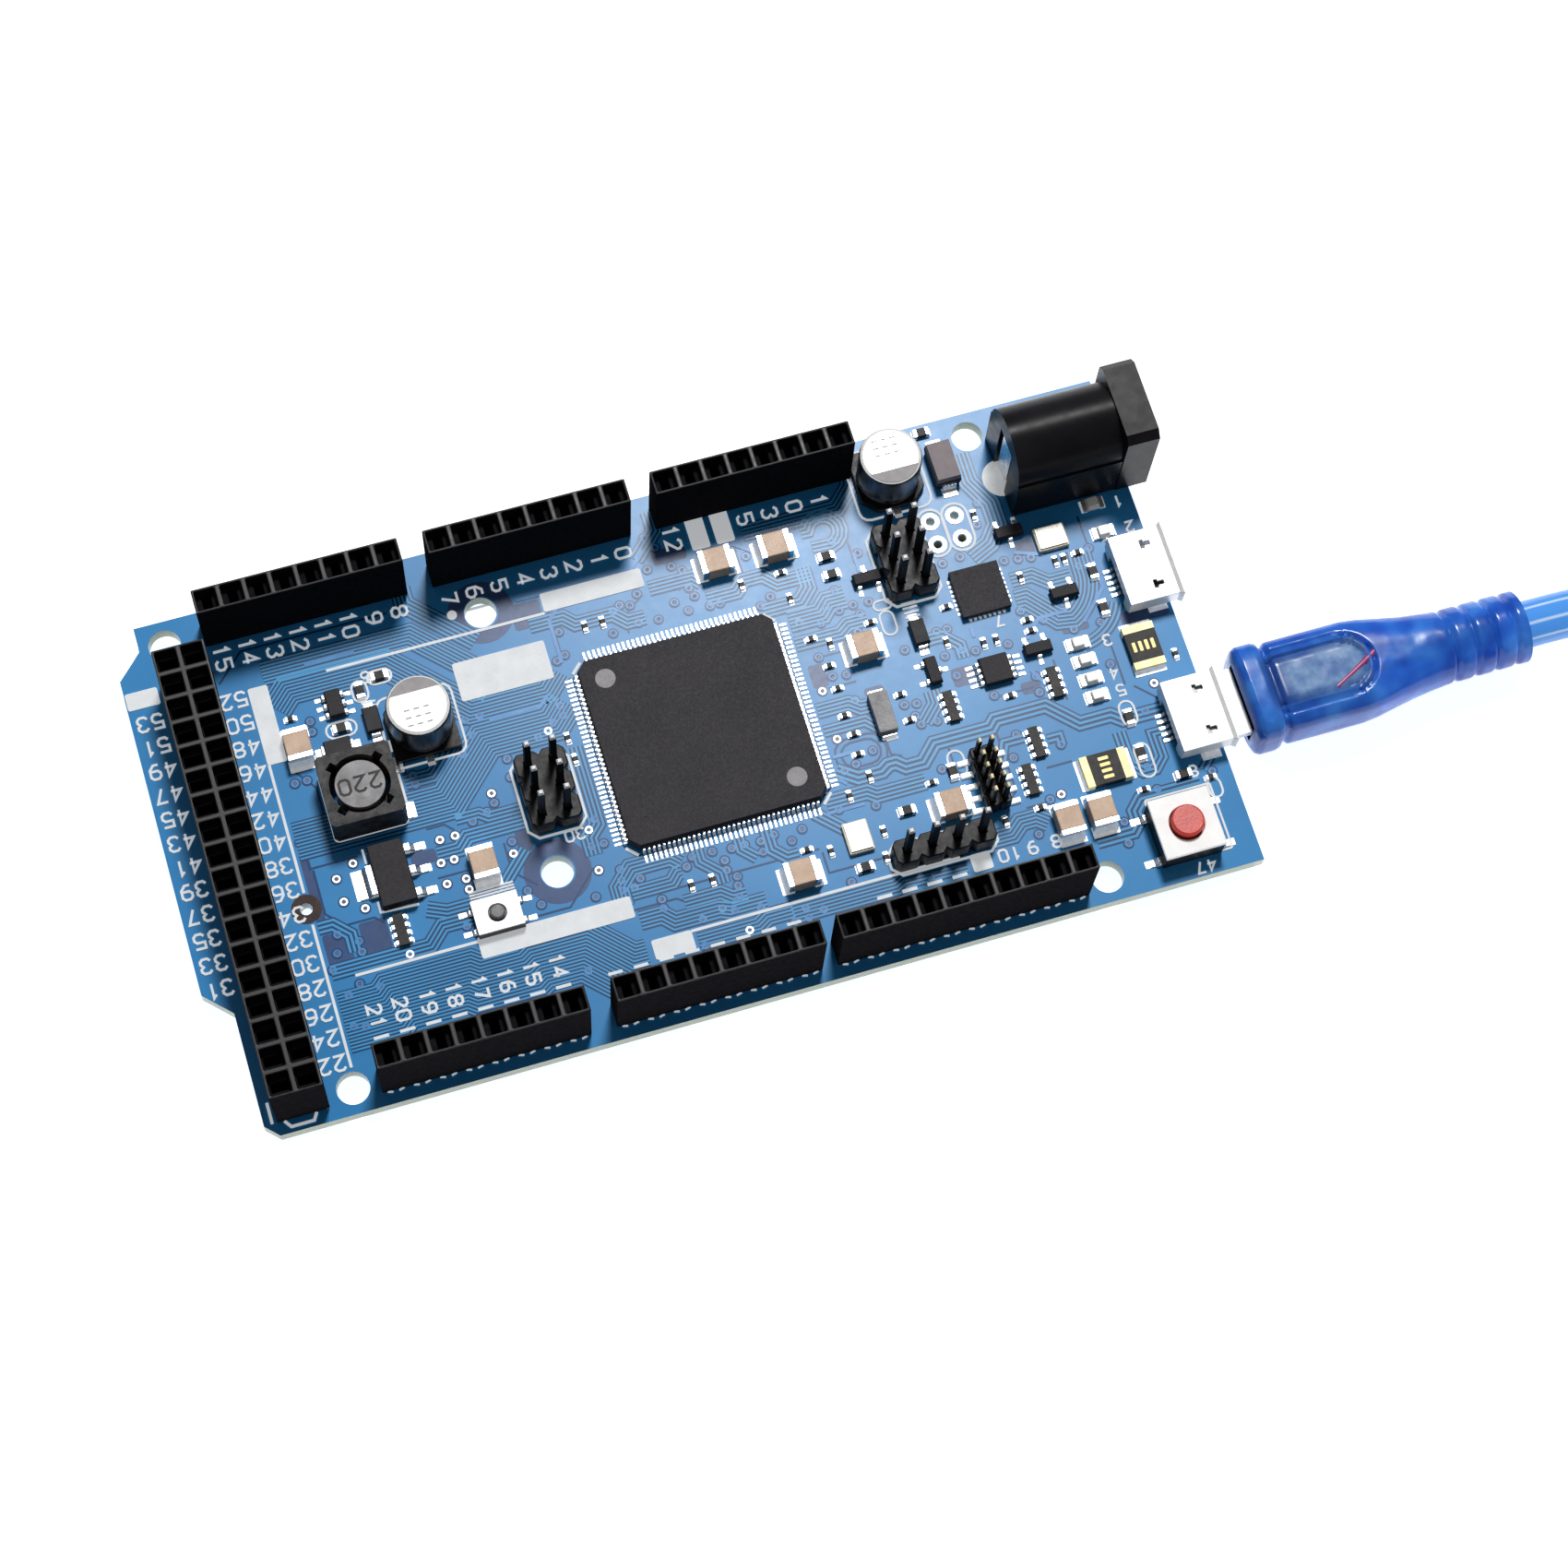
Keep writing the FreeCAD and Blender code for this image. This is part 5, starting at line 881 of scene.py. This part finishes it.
def header_numbers(top):
    """The pin numbers beside the headers, upside down as seen from the lower edge."""

    def dash(u, v, half, width, tilt=0.0):
        top.line("ink", [(u - half, v + tilt), (u + half, v - tilt)], width)

    for k in range(12):
        top.write(str(53 - 2 * k), 1.85, 43.3 - GRID * k, 1.45, wide=0.24)
    for k in range(16):
        top.write(str(52 - 2 * k), 10.1, 43.3 - GRID * k, 1.45, wide=0.24)
        top.line("ink", [(8.75, 42.5 - GRID * k), (8.75, 44.0 - GRID * k)], 0.28)
    for k in range(8):
        top.write(str(15 - k), 10.16 + GRID * k, 48.0, 1.5, -90, 0.24)
        top.write(str(7 - k), 33.02 + GRID * k, 48.0, 1.5, -90, 0.24)
        top.write(str(21 - k), 15.24 + GRID * k, 8.7, 1.3, -90, 0.26)
        dash(15.24 + GRID * k, 6.6, 0.74, 0.3)
        dash(38.1 + GRID * k, 6.5, 0.7, 0.3)
    for k, mark in ((0, "12"), (3, "5"), (4, "3"), (5, "0"), (6, "1")):
        top.write(mark, 55.88 + GRID * k, 48.2, 1.5, -90, 0.24)
    for k in range(2):
        top.box("ink", 57.55 + GRID * k, 46.3, 59.4 + GRID * k, 50.0, 0.2)
    for k in range(2, 6):
        dash(LOWER_HEADERS[2][0] + GRID * k, 6.6, 0.75, 0.34)
    for k, mark in enumerate(("10", "9", "8")):
        top.write(mark, 77.9 + 2.4 * k, 7.35, 1.2, wide=0.22)
    for start, count in LOWER_HEADERS:
        for k in range(count):
            for side in (-1, 1):
                dash(start + GRID * k + 0.55 * side, 1.2, 0.26, 0.17, -0.07 * side)


def silk(top):
    """Blank blocks, rules, brackets and outlines in white ink."""
    for block in BLANK_BLOCKS:
        top.box("ink", *block, 0.2)
    for points in RULES:
        top.line("ink", points, 0.28)
    for u0, u1, v in NAME_RULES:
        top.line("hole", [(u0, v), (u1, v)], 0.1)
    cut = 0.9
    for u0, v0, u1, v1 in PIN_HEADER_FRAMES:
        top.line("ink", [(u0 + cut, v0), (u1 - cut, v0), (u1, v0 + cut), (u1, v1 - cut), (u1 - cut, v1),
                         (u0 + cut, v1), (u0, v1 - cut), (u0, v0 + cut)], 0.24, True)
    # The spare pads: tinned rings in two long outlines.
    for u in (81.2, 83.74):
        top.frame_round(u - 1.3, 39.0, u + 1.3, 44.15, 1.25, 0.24, 4)
        for v in (42.84, 40.3):
            top.ring("pad", u, v, 0.92, 0.5)
    for u, v in CAN_PLACES:
        top.frame_round(u - 3.75, v - 3.75, u + 3.75, v + 3.75, 1.0, 0.22)
    # The inductor, the processor's corners, and the reset switch.
    top.frame_round(16.0, 26.5, 23.2, 33.7, 0.4, 0.2)
    for side_u, side_v in ((-1, -1), (-1, 1), (1, -1), (1, 1)):
        u, v = 52.85 + 10.35 * side_u, 27.55 + 10.35 * side_v
        top.line("ink", [(u, v - side_v), (u - side_u, v)], 0.3)
    top.frame_round(92.3, 2.0, 99.0, 8.9, 0.2, 0.2)
    top.line("ink", [(18.2, 25.1), (18.2, 23.6)], 0.22)
    top.line("ink", [(18.3, 19.6), (18.3, 18.5), (22.0, 18.3)], 0.22)
    for u, v, wide, tall in RINGED_CHIPS:
        radius = min(wide, tall) / 2 - 0.02
        top.frame_round(u - wide / 2, v - tall / 2, u + wide / 2, v + tall / 2, radius, 0.2)
    for u, v, text in PART_NUMBERS:
        top.write(text, u, v, 1.1)
    top.area("ink", circle(32.8, 46.2, 0.5))
    for k in range(4):
        for u0, u1, v, step, width in COMBS:
            top.line("ink", [(u0, v + step * k), (u1, v + step * k)], width)


def copper(top):
    """Traces, gaps, bare areas, vias, and the rings round the screw holes."""
    top.ring("brown", 11.6, 20.8, 1.45, 0.62, 32)
    for box in BARE_AREAS:
        top.box("bare", *box, 0.3)
    for u, v in ((35.6, 17.8), (35.6, 45.7)):
        top.ring("bare", u, v, 3.3, 1.75)
    for outline in (rounded(64.7, 19.5, 69.8, 23.1, 1.5), rounded(65.3, 20.0, 69.2, 22.6, 1.2)):
        top.line("gap", outline, 0.22, True)
    for bundle in BUNDLES:
        top.bundle(*bundle)
    for points in GAP_LINES:
        top.line("gap", points, 0.2)
    for points in PALE_LINES:
        top.line("ring", points, 0.36)
    for u, v in VIAS:
        top.via(u, v, False)
    for u, v in BRIGHT_VIAS:
        top.via(u, v, True)


def outward(box, bodies):
    """Which way a terminal faces from the nearest body, as (1, 0), (-1, 0), (0, 1) or (0, -1)."""
    u, v = middle(box)
    body = min(bodies, key=lambda other: math.dist((u, v), middle(other)))
    body_u, body_v = middle(body)
    across = (u - body_u) / (body[3] - body[0])
    along = (v - body_v) / (body[4] - body[1])
    if abs(across) > abs(along):
        return (1 if across > 0 else -1), 0
    return 0, (1 if along > 0 else -1)


def grown(box, way, outer, inner):
    """A footprint whose ends that face that way grow by outer, and the others by inner."""
    u0, v0, u1, v1 = box
    return (u0 - (outer if way[0] < 0 else inner), v0 - (outer if way[1] < 0 else inner),
            u1 + (outer if way[0] > 0 else inner), v1 + (outer if way[1] > 0 else inner))


# How far the pads of each node's terminals reach past them.
PAD_REACH = {"processor_leads": 0.3, "small_part_leads": 0.32, "usb_bridge_pads": 0.2,
             "switch_terminals": 0.5, "polyfuse_ends": 0.5}
CHIP_REACH, TALL_CHIP_REACH, TALL_CHIP = 0.16, 0.55, 0.7
USB_TABS = [(99.2, 27.5, 101.2, 28.4), (99.2, 11.2, 101.2, 12.1), (97.2, 36.0, 98.0, 36.3)]


def pads_and_solder(top):
    """A pad under every terminal, with a fillet of solder up its end."""
    solder, pools = bmesh.new(), bmesh.new()
    chips = islands("ceramic_capacitor_bodies", "chip_component_bodies", "resistor_array_bodies",
                    "led_bodies", "watch_crystal")
    packages = islands("small_ic_bodies", "voltage_regulator_body", "usb_bridge_body",
                       "transistor_bodies", "diode_bodies", "capacitor_cans", "inductor_frame")
    groups = (("chip_end_caps", chips), ("polyfuse_ends", islands("polyfuse_bodies")),
              ("small_part_leads", packages), ("processor_leads", islands("processor_body")),
              ("switch_terminals", islands("reset_switch_cover", "erase_switch_cover")),
              ("usb_bridge_pads", packages))
    for name, bodies in groups:
        for box in islands(name):
            u0, v0, _, u1, v1, high = box
            if u1 - u0 > 4 and v1 - v0 > 4:
                continue
            way = outward(box, bodies)
            tall = min(high, 2.0)
            reach = PAD_REACH.get(name, CHIP_REACH if tall < TALL_CHIP else TALL_CHIP_REACH)
            side = 0.08 if name == "chip_end_caps" and tall > TALL_CHIP else 0.01
            top.box("pad", *grown((u0 - side, v0 - side, u1 + side, v1 + side), way, reach, 0), 0.06)
            if name in ("chip_end_caps", "polyfuse_ends"):
                foot = grown((u0, v0, u1, v1), way, 0.7 * reach, -0.03)
                head = grown((u0, v0, u1, v1), way, 0.02, -0.05)
                frustum(solder, foot, head, 0.01, 0.55 * tall)
    # The fine header's feet lie under mounds of solder.
    base_u = middle(islands("jtag_header_base")[0])[0]
    for box in islands("jtag_pins"):
        u0, v0, _, u1, v1, _ = box
        start, end = (u1 - 1.35, u1 + 0.12) if middle(box)[0] > base_u else (u0 - 0.12, u0 + 1.35)
        frustum(solder, (start, v0 - 0.1, end, v1 + 0.1), (start + 0.06, v0 - 0.02, end - 0.06, v1 + 0.02),
                0.01, 0.36)
    # The jack's rear tab stands in a round pool of solder, and its side tab in a smaller one.
    turned(pools, 89.6, 45.5, [(0, 0), (2.0, 0.0), (2.0, 0.12), (1.5, 0.35), (0.9, 0.8), (0, 0.9)], 32)
    turned(pools, 92.6, 50.9, [(0, 0), (1.3, 0.0), (1.3, 0.12), (0.9, 0.4), (0, 0.7)], 24)
    finish_piece("solder_pools", pools, "pooled_solder", smooth_angle=30)
    for u0, v0, u1, v1 in USB_TABS:
        frustum(solder, (u0, v0, u1, v1), (u0 + 0.3, v0 + 0.2, u1 - 0.3, v1 - 0.2), 0.0, 0.45)
    finish_piece("solder_fillets", solder, "solder", smooth_angle=30)


UNDER_BLOCKS = [(60.0, 44.6, 74.0, 47.6), (14.0, 17.0, 24.0, 19.4), (88.4, 44.8, 96.0, 46.4)]
UNDER_RULES = [[(12.0, 47.0), (52.0, 47.0)], [(14.0, 5.4), (56.0, 5.4)], [(62.0, 5.4), (84.0, 5.4)]]
# Solder cones as (radius, height) from the tip of a pin's tail up to the board.
TAIL_CONE = [(0, -2.55), (0.24, -2.5), (0.34, -2.2), (0.5, -1.85), (0.78, -1.66), (0.78, -1.6), (0, -1.6)]
JACK_CONE = [(0, -2.4), (1.0, -2.3), (1.5, -1.8), (1.7, -1.6), (0, -1.6)]


def under_side():
    """The same kinds of detail on the lower face, and a cone of solder round every pin."""
    under = Art(under=True)
    for bundle in UNDER_BUNDLES:
        under.bundle(*bundle)
    for k, (u, v) in enumerate(VIAS + BRIGHT_VIAS):
        under.via(u, v, k % 5 == 0)
    for block in UNDER_BLOCKS:
        under.box("ink", *block, 0.2)
    for points in UNDER_RULES:
        under.line("ink", points, 0.26)
    for k in range(8):
        under.write(str(7 - k), 33.02 + GRID * k, 48.6, 1.2)
        under.write(str(k), 38.1 + GRID * (7 - k), 4.2, 1.2)
    cones = bmesh.new()
    for box in islands("header_end_contacts", "header_inner_contacts", "header_pins"):
        under.ring("pad", *middle(box), 0.86, 0.3)
        turned(cones, *middle(box), TAIL_CONE, 14)
    for box in islands("power_jack_terminals"):
        turned(cones, *middle(box), JACK_CONE, 24)
    finish_piece("under_solder", cones, "solder", smooth_angle=40)
    under.finish()


# Marks on parts


def marks():
    """Marks printed on parts: the cans' stripe and figures, the fuses' and the inductor's figures."""
    stripe, figures, gilt, discs, engraving = (bmesh.new() for _ in range(5))

    def bar(mesh, u, v, long, wide, high, proud):
        """A bar printed on a part: half its length and width, the part's top, and its thickness."""
        prism(mesh, rounded(u - long, v - wide, u + long, v + wide, 0.06, 1), high - 0.02, high + proud)

    for can, way in zip(islands("capacitor_cans"), (1, -1)):
        (u, v), high, radius = middle(can), can[5], (can[3] - can[0]) / 2 - 0.28
        prism(stripe, arc(u, v, radius, 90 * way - 60, 90 * way + 60, 20), high - 0.02, high + 0.012)
        for k in range(9):
            bar(figures, u - 1.2 + 0.95 * (k % 3), v - way * (1.9 - 0.8 * (k // 3)), 0.3, 0.08, high, 0.01)
    for fuse in islands("polyfuse_bodies"):
        u, v = middle(fuse)
        for step in (-0.96, -0.32, 0.32, 0.96):
            if u < 95:
                bar(gilt, u, v + step, 0.52, 0.17, fuse[5], 0.015)
            else:
                bar(gilt, u + step, v, 0.17, 0.52, fuse[5], 0.015)
    (u, v), high = middle(islands("processor_body")[0]), islands("processor_body")[0][5]
    for du, dv in ((-7.55, 7.55), (7.45, -7.35)):
        prism(discs, circle(u + du, v + dv, 1.0, 32), high - 0.02, high + 0.006)
    drum = islands("inductor_drum")[0]
    write(engraving, "220", *middle(drum), 1.5, 180, 0.26, drum[5] - 0.02, drum[5] + 0.01)
    finish_piece("ejector_marks", discs, "ejector_mark")
    finish_piece("inductor_figures", engraving, "engraved_ferrite")
    finish_piece("can_stripes", stripe, "can_stripe_ink")
    finish_piece("part_figures", figures, "grey_ink")
    finish_piece("fuse_marks", gilt, "gilt_ink")


DOME_THICK = 0.08


def make_domes():
    """The snap domes under the buttons."""
    for name, joint, travel in (("reset_switch_dome", "reset_press", 0.25),
                                ("erase_switch_dome", "erase_press", 0.2)):
        box = islands(name)[0]
        (u, v), low, high = middle(box), box[2], box[5]
        reach, rise = (box[3] - box[0]) / 2, high - low
        shell = bmesh.new()
        turned(shell, u, v, [
            (0, high - DOME_THICK), (0.33 * reach, high - DOME_THICK),
            (0.66 * reach, low + 0.6 * rise - DOME_THICK), (reach - 0.1, low), (reach, low),
            (0.7 * reach, low + 0.6 * rise), (0.35 * reach, high), (0, high)], 32)
        piece = finish_piece(f"{name}_leaf", shell, "spring_steel", smooth_angle=40)
        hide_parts(name)
        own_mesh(piece)


# The plug's soft parts


def bridge(mesh, rings):
    """Skins a row of closed rings of points into one closed solid."""
    skin(mesh, [[mesh.verts.new(point) for point in ring] for ring in rings])


def between(table, x):
    """The values at x of a table of rows (x, value, value, ...), straight between its rows."""
    for low, high in zip(table, table[1:]):
        if x <= high[0]:
            share = (x - low[0]) / (high[0] - low[0])
            return [a + (b - a) * share for a, b in zip(low[1:], high[1:])]
    return list(table[-1][1:])


# Distance from the plug's face, half width, half height, and how square the section is.
PLUG_SECTIONS = [
    (0.0, 4.3, 2.9, 4.0), (0.25, 4.9, 3.45, 4.0), (0.7, 5.15, 3.7, 4.0), (2.2, 5.15, 3.7, 4.0),
    (2.7, 5.0, 3.55, 4.0), (2.95, 4.55, 3.1, 4.0), (3.3, 4.5, 3.05, 4.0), (3.6, 4.85, 3.35, 4.0),
    (3.9, 4.9, 3.4, 4.0), (11.6, 4.9, 3.4, 4.0), (13.2, 4.75, 3.4, 3.6), (15.4, 4.35, 3.45, 3.0),
    (17.6, 4.0, 3.5, 2.5), (20.7, 3.68, 3.6, 2.1), (29.3, 3.65, 3.65, 2.0),
]
# The strain relief's ring grooves: where they start, how many there are, their step and depth, and
# where a groove lies in its step and how wide it is, as shares of the step.
RIBS_START, RIB_COUNT, RIB_STEP, RIB_DEPTH, RIB_PLACE, RIB_WIDTH = 20.7, 4, 2.15, 0.36, 0.42, 0.13
# The two grooves round the window, and the sunk flat inside them.
BAND_START, BAND_END, BAND_INNER, BAND_OUTER = 2.9, 13.4, 2.35, 3.15
GROOVE_DEPTH, GROOVE_WIDTH, FLAT_DEPTH, DEEPEST = 0.34, 0.16, 0.16, 0.4


def plug_section(x, turn):
    """A point on the overmould's skin, as (across, up), before the bands are cut."""
    wide, tall, square = between(PLUG_SECTIONS, x)
    c, s = math.cos(turn), math.sin(turn)
    reach = (abs(c) ** square + abs(s) ** square) ** (-1 / square)
    return wide * reach * c, tall * reach * s


def band_depth(x, across):
    """How deep the two U-shaped grooves round the window are at a place on the flat top."""
    if x < BAND_START:
        return 0.0
    turn = BAND_END - BAND_OUTER
    away = abs(across) if x < turn else math.hypot(across, x - turn)
    depth = FLAT_DEPTH if away < BAND_INNER else 0.0
    for groove in (BAND_INNER, BAND_OUTER):
        depth += GROOVE_DEPTH * math.exp(-((away - groove) / GROOVE_WIDTH) ** 2)
    return min(depth, DEEPEST)


def rib_depth(x):
    """The ring grooves of the strain relief."""
    along = (x - RIBS_START) / RIB_STEP
    if not 0 < along < RIB_COUNT:
        return 0.0
    return RIB_DEPTH * math.exp(-((along % 1 - RIB_PLACE) / RIB_WIDTH) ** 2)


def make_plug():
    """The overmould: a collar, a grip with a window band on both flats, a neck and a ribbed relief."""
    low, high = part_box("micro_plug_overmould")
    axis_y, axis_z, face = (low.y + high.y) / 2, (low.z + high.z) / 2, low.x
    around, step, long = 128, 0.14, (high.x - low.x) / MM
    count = round(long / step)
    rings = []
    for k in range(count + 1):
        x = long * k / count
        shrink = rib_depth(x)
        ring = []
        for j in range(around):
            turn = 2 * math.pi * (j + 0.5) / around
            across, up = plug_section(x, turn)
            size = math.hypot(across, up)
            across, up = across * (1 - shrink / size), up * (1 - shrink / size)
            if math.sin(turn) ** 2 > 0.12:
                up -= math.copysign(band_depth(x, across), up)
            ring.append(Vector((face + x * MM, axis_y + across * MM, axis_z + up * MM)))
        rings.append(ring)
    mesh = bmesh.new()
    bridge(mesh, rings)
    mould = finish_piece("plug_mould", mesh, "plug_vinyl", "usb_cable", 50)
    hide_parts("micro_plug_overmould")
    return mould


WIRE_SIDES, WIRE_STEPS = 12, 6


def wire(name, points, radius, material):
    """A round insulated wire through points in the frame, in millimetres."""
    route = [Vector(point) for point in points]
    smooth = []
    for k in range(len(route) - 1):
        before, here, there, after = (route[max(k - 1, 0)], route[k], route[k + 1],
                                      route[min(k + 2, len(route) - 1)])
        for j in range(WIRE_STEPS):
            t = j / WIRE_STEPS
            smooth.append(0.5 * (2 * here + (there - before) * t
                                 + (2 * before - 5 * here + 4 * there - after) * t * t
                                 + (3 * here - before - 3 * there + after) * t ** 3))
    smooth.append(route[-1])
    rings = []
    for k, point in enumerate(smooth):
        way = (smooth[min(k + 1, len(smooth) - 1)] - smooth[max(k - 1, 0)]).normalized()
        side = way.cross(Vector((0, 0, 1))).normalized()
        up = side.cross(way)
        rings.append([(point + (side * math.cos(a) + up * math.sin(a)) * radius) * MM
                      for a in (2 * math.pi * j / WIRE_SIDES for j in range(WIRE_SIDES))])
    mesh = bmesh.new()
    bridge(mesh, rings)
    return finish_piece(name, mesh, material, "usb_cable", smooth_angle=60)


def make_wires():
    """The four wires that run from the plug's back shell to the cord inside the clear overmould."""
    low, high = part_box("micro_plug_overmould")
    face, y, z = low.x / MM, (low.y + high.y) / 2 / MM, (low.z + high.z) / 2 / MM
    wires = [wire("wire_red", [
        (face + 8.9, y - 2.0, z + 2.95), (face + 10.5, y - 1.2, z + 3.02), (face + 12.4, y - 0.2, z + 3.08),
        (face + 14.2, y + 0.8, z + 3.06), (face + 15.4, y + 1.2, z + 2.9)], 0.3, "red_insulation")]
    # The others start apart and draw together towards the cord: along, and shares of side and rise.
    stations = ((11.9, 1.0, 1.0), (14.0, 0.9, 1.0), (17.0, 0.6, 0.7), (21.0, 0.5, 0.5), (27.0, 0.5, 0.5))
    for colour, side, rise in (("black", 1.9, 1.3), ("white", -0.9, 0.4), ("green", 0.9, -0.6)):
        points = [(face + x, y + apart * side, z + up * rise) for x, apart, up in stations]
        wires.append(wire(f"wire_{colour}", points, 0.4, f"{colour}_insulation"))
    return wires


# The cable

CORD_DIAMETER = 4.8
CORD_EXIT = Vector((81.85, -11.12, 4.55))
LEAD_IN = [(90.2, -11.0, 4.4), (98.6, -12.2, 3.0), (106.6, -15.8, 2.4), (113.6, -19.2, 2.4)]
LEAD_OUT = [(127.0, -21.0, 6.6), (136.0, -21.9, 7.6), (144.0, -23.9, 6.6), (152.0, -25.0, 4.4)]
PLUG_ENTRY = (160.0, -25.0, 4.0)
COIL_MIDDLE = (127.0, 3.0)
OUTER_TURN, INNER_TURN, TOP_TURN = 26.4, 21.6, 24.0
FLOOR_LEVEL, TOP_LEVEL, CROSSING_LEVEL = 2.4, 6.56, 7.4


def ease(start, end, share):
    """From start to end, slowly at both."""
    share = min(max(share, 0.0), 1.0)
    return start + (end - start) * share * share * (3 - 2 * share)


def coil_points():
    """Three turns: one on the floor, one inside it, and one in the groove on top of both."""
    first, last, step = 262.0, 1338.0, 22.0
    bulge = 1 / (0.75 + 0.25 * math.cos(math.radians(step)))
    count = round((last - first) / step)
    points = []
    for k in range(count + 1):
        angle = first + (last - first) * k / count
        radius = ease(OUTER_TURN, INNER_TURN, (angle - 545) / 62)
        radius = ease(radius, TOP_TURN, (angle - 885) / 60)
        high = ease(FLOOR_LEVEL, CROSSING_LEVEL, (angle - 868) / 52)
        high = ease(high, TOP_LEVEL, (angle - 968) / 50)
        turn = math.radians(angle)
        points.append((COIL_MIDDLE[0] + radius * bulge * math.cos(turn),
                       COIL_MIDDLE[1] + radius * bulge * math.sin(turn), high))
    return points


def make_cord(plug_pieces):
    """The cord as one curve from the grip to the far plug."""
    route = [tuple(CORD_EXIT)] + LEAD_IN + coil_points() + LEAD_OUT + [PLUG_ENTRY]
    curve = bpy.data.curves.new("cord_line", "CURVE")
    curve.dimensions = "3D"
    curve.bevel_depth = CORD_DIAMETER / 2 * MM
    curve.bevel_resolution = 8
    curve.resolution_u = 10
    curve.use_fill_caps = True
    spline = curve.splines.new("NURBS")
    spline.points.add(len(route) - 1)
    for point, (x, y, z) in zip(spline.points, route):
        point.co = (x * MM, y * MM, z * MM, 1)
    spline.order_u = 3
    spline.use_endpoint_u = True
    curve.materials.append(MATERIALS["cord_vinyl"])
    cord = bpy.data.objects.new("cord", curve)
    scene.collection.objects.link(cord)
    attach(cord, "usb_cable")
    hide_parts("usb_cord", "cord_coil")


# Camera, floor and light


def add_camera():
    """A long lens from above the lower left, turned a little clockwise."""
    azimuth, elevation, roll = math.radians(-23.57), math.radians(70.11), math.radians(7.05)
    target, distance = at(59.07, 20.31), 0.3463
    back = Vector((math.sin(azimuth) * math.cos(elevation),
                   -math.cos(azimuth) * math.cos(elevation), math.sin(elevation)))
    level = Vector((0, 0, 1)).cross(back).normalized()
    upward = back.cross(level)
    right = level * math.cos(roll) + upward * math.sin(roll)
    up = upward * math.cos(roll) - level * math.sin(roll)
    data = bpy.data.cameras.new("camera")
    data.sensor_width, data.lens = 36, 81.92
    data.clip_start, data.clip_end = 0.01, 10
    camera = bpy.data.objects.new("camera", data)
    camera.matrix_world = Matrix.Translation(target + back * distance) @ Matrix(
        (right, up, back)).transposed().to_4x4()
    scene.collection.objects.link(camera)
    scene.camera = camera


def add_floor():
    """A lit table, which keeps the shadows under the board faint."""
    mesh = bmesh.new()
    bmesh.ops.create_grid(mesh, x_segments=1, y_segments=1, size=3.0)
    floor = bpy.data.meshes.new("floor")
    mesh.to_mesh(floor)
    mesh.free()
    surface("light_table", (0.86, 0.86, 0.86), (0.88, 0.88, 0.88), (0.85, 0.9), 60, 3, 0.001, lift=0.95)
    floor.materials.append(MATERIALS["light_table"])
    piece = bpy.data.objects.new("floor", floor)
    scene.collection.objects.link(piece)


def add_light(name, azimuth, elevation, distance, size, power):
    """An area light that faces the middle of the board. Azimuth turns from +Y towards +X."""
    data = bpy.data.lights.new(name, "AREA")
    data.shape = "DISK"
    data.size, data.energy = size, power
    light = bpy.data.objects.new(name, data)
    turn, rise = math.radians(azimuth), math.radians(elevation)
    way = Vector((math.sin(turn) * math.cos(rise), math.cos(turn) * math.cos(rise), math.sin(rise)))
    light.location = at(55, 26) + way * distance
    light.rotation_euler = way.to_track_quat("Z", "Y").to_euler()
    scene.collection.objects.link(light)


def add_world():
    world = bpy.data.worlds.new("studio")
    world.use_nodes = True
    background = world.node_tree.nodes["Background"]
    background.inputs["Color"].default_value = (0.97, 0.985, 1.0, 1)
    background.inputs["Strength"].default_value = 0.2
    scene.world = world
    scene.view_settings.view_transform = "Standard"


dress_nodes()
top_side = Art()
copper(top_side)
header_numbers(top_side)
silk(top_side)
pads_and_solder(top_side)
top_side.finish()
under_side()
marks()
make_domes()
make_cord([make_plug()] + make_wires())
add_camera()
add_floor()
add_light("key", 22.8, 62.2, 0.93, 0.2, 7.2)
add_world()
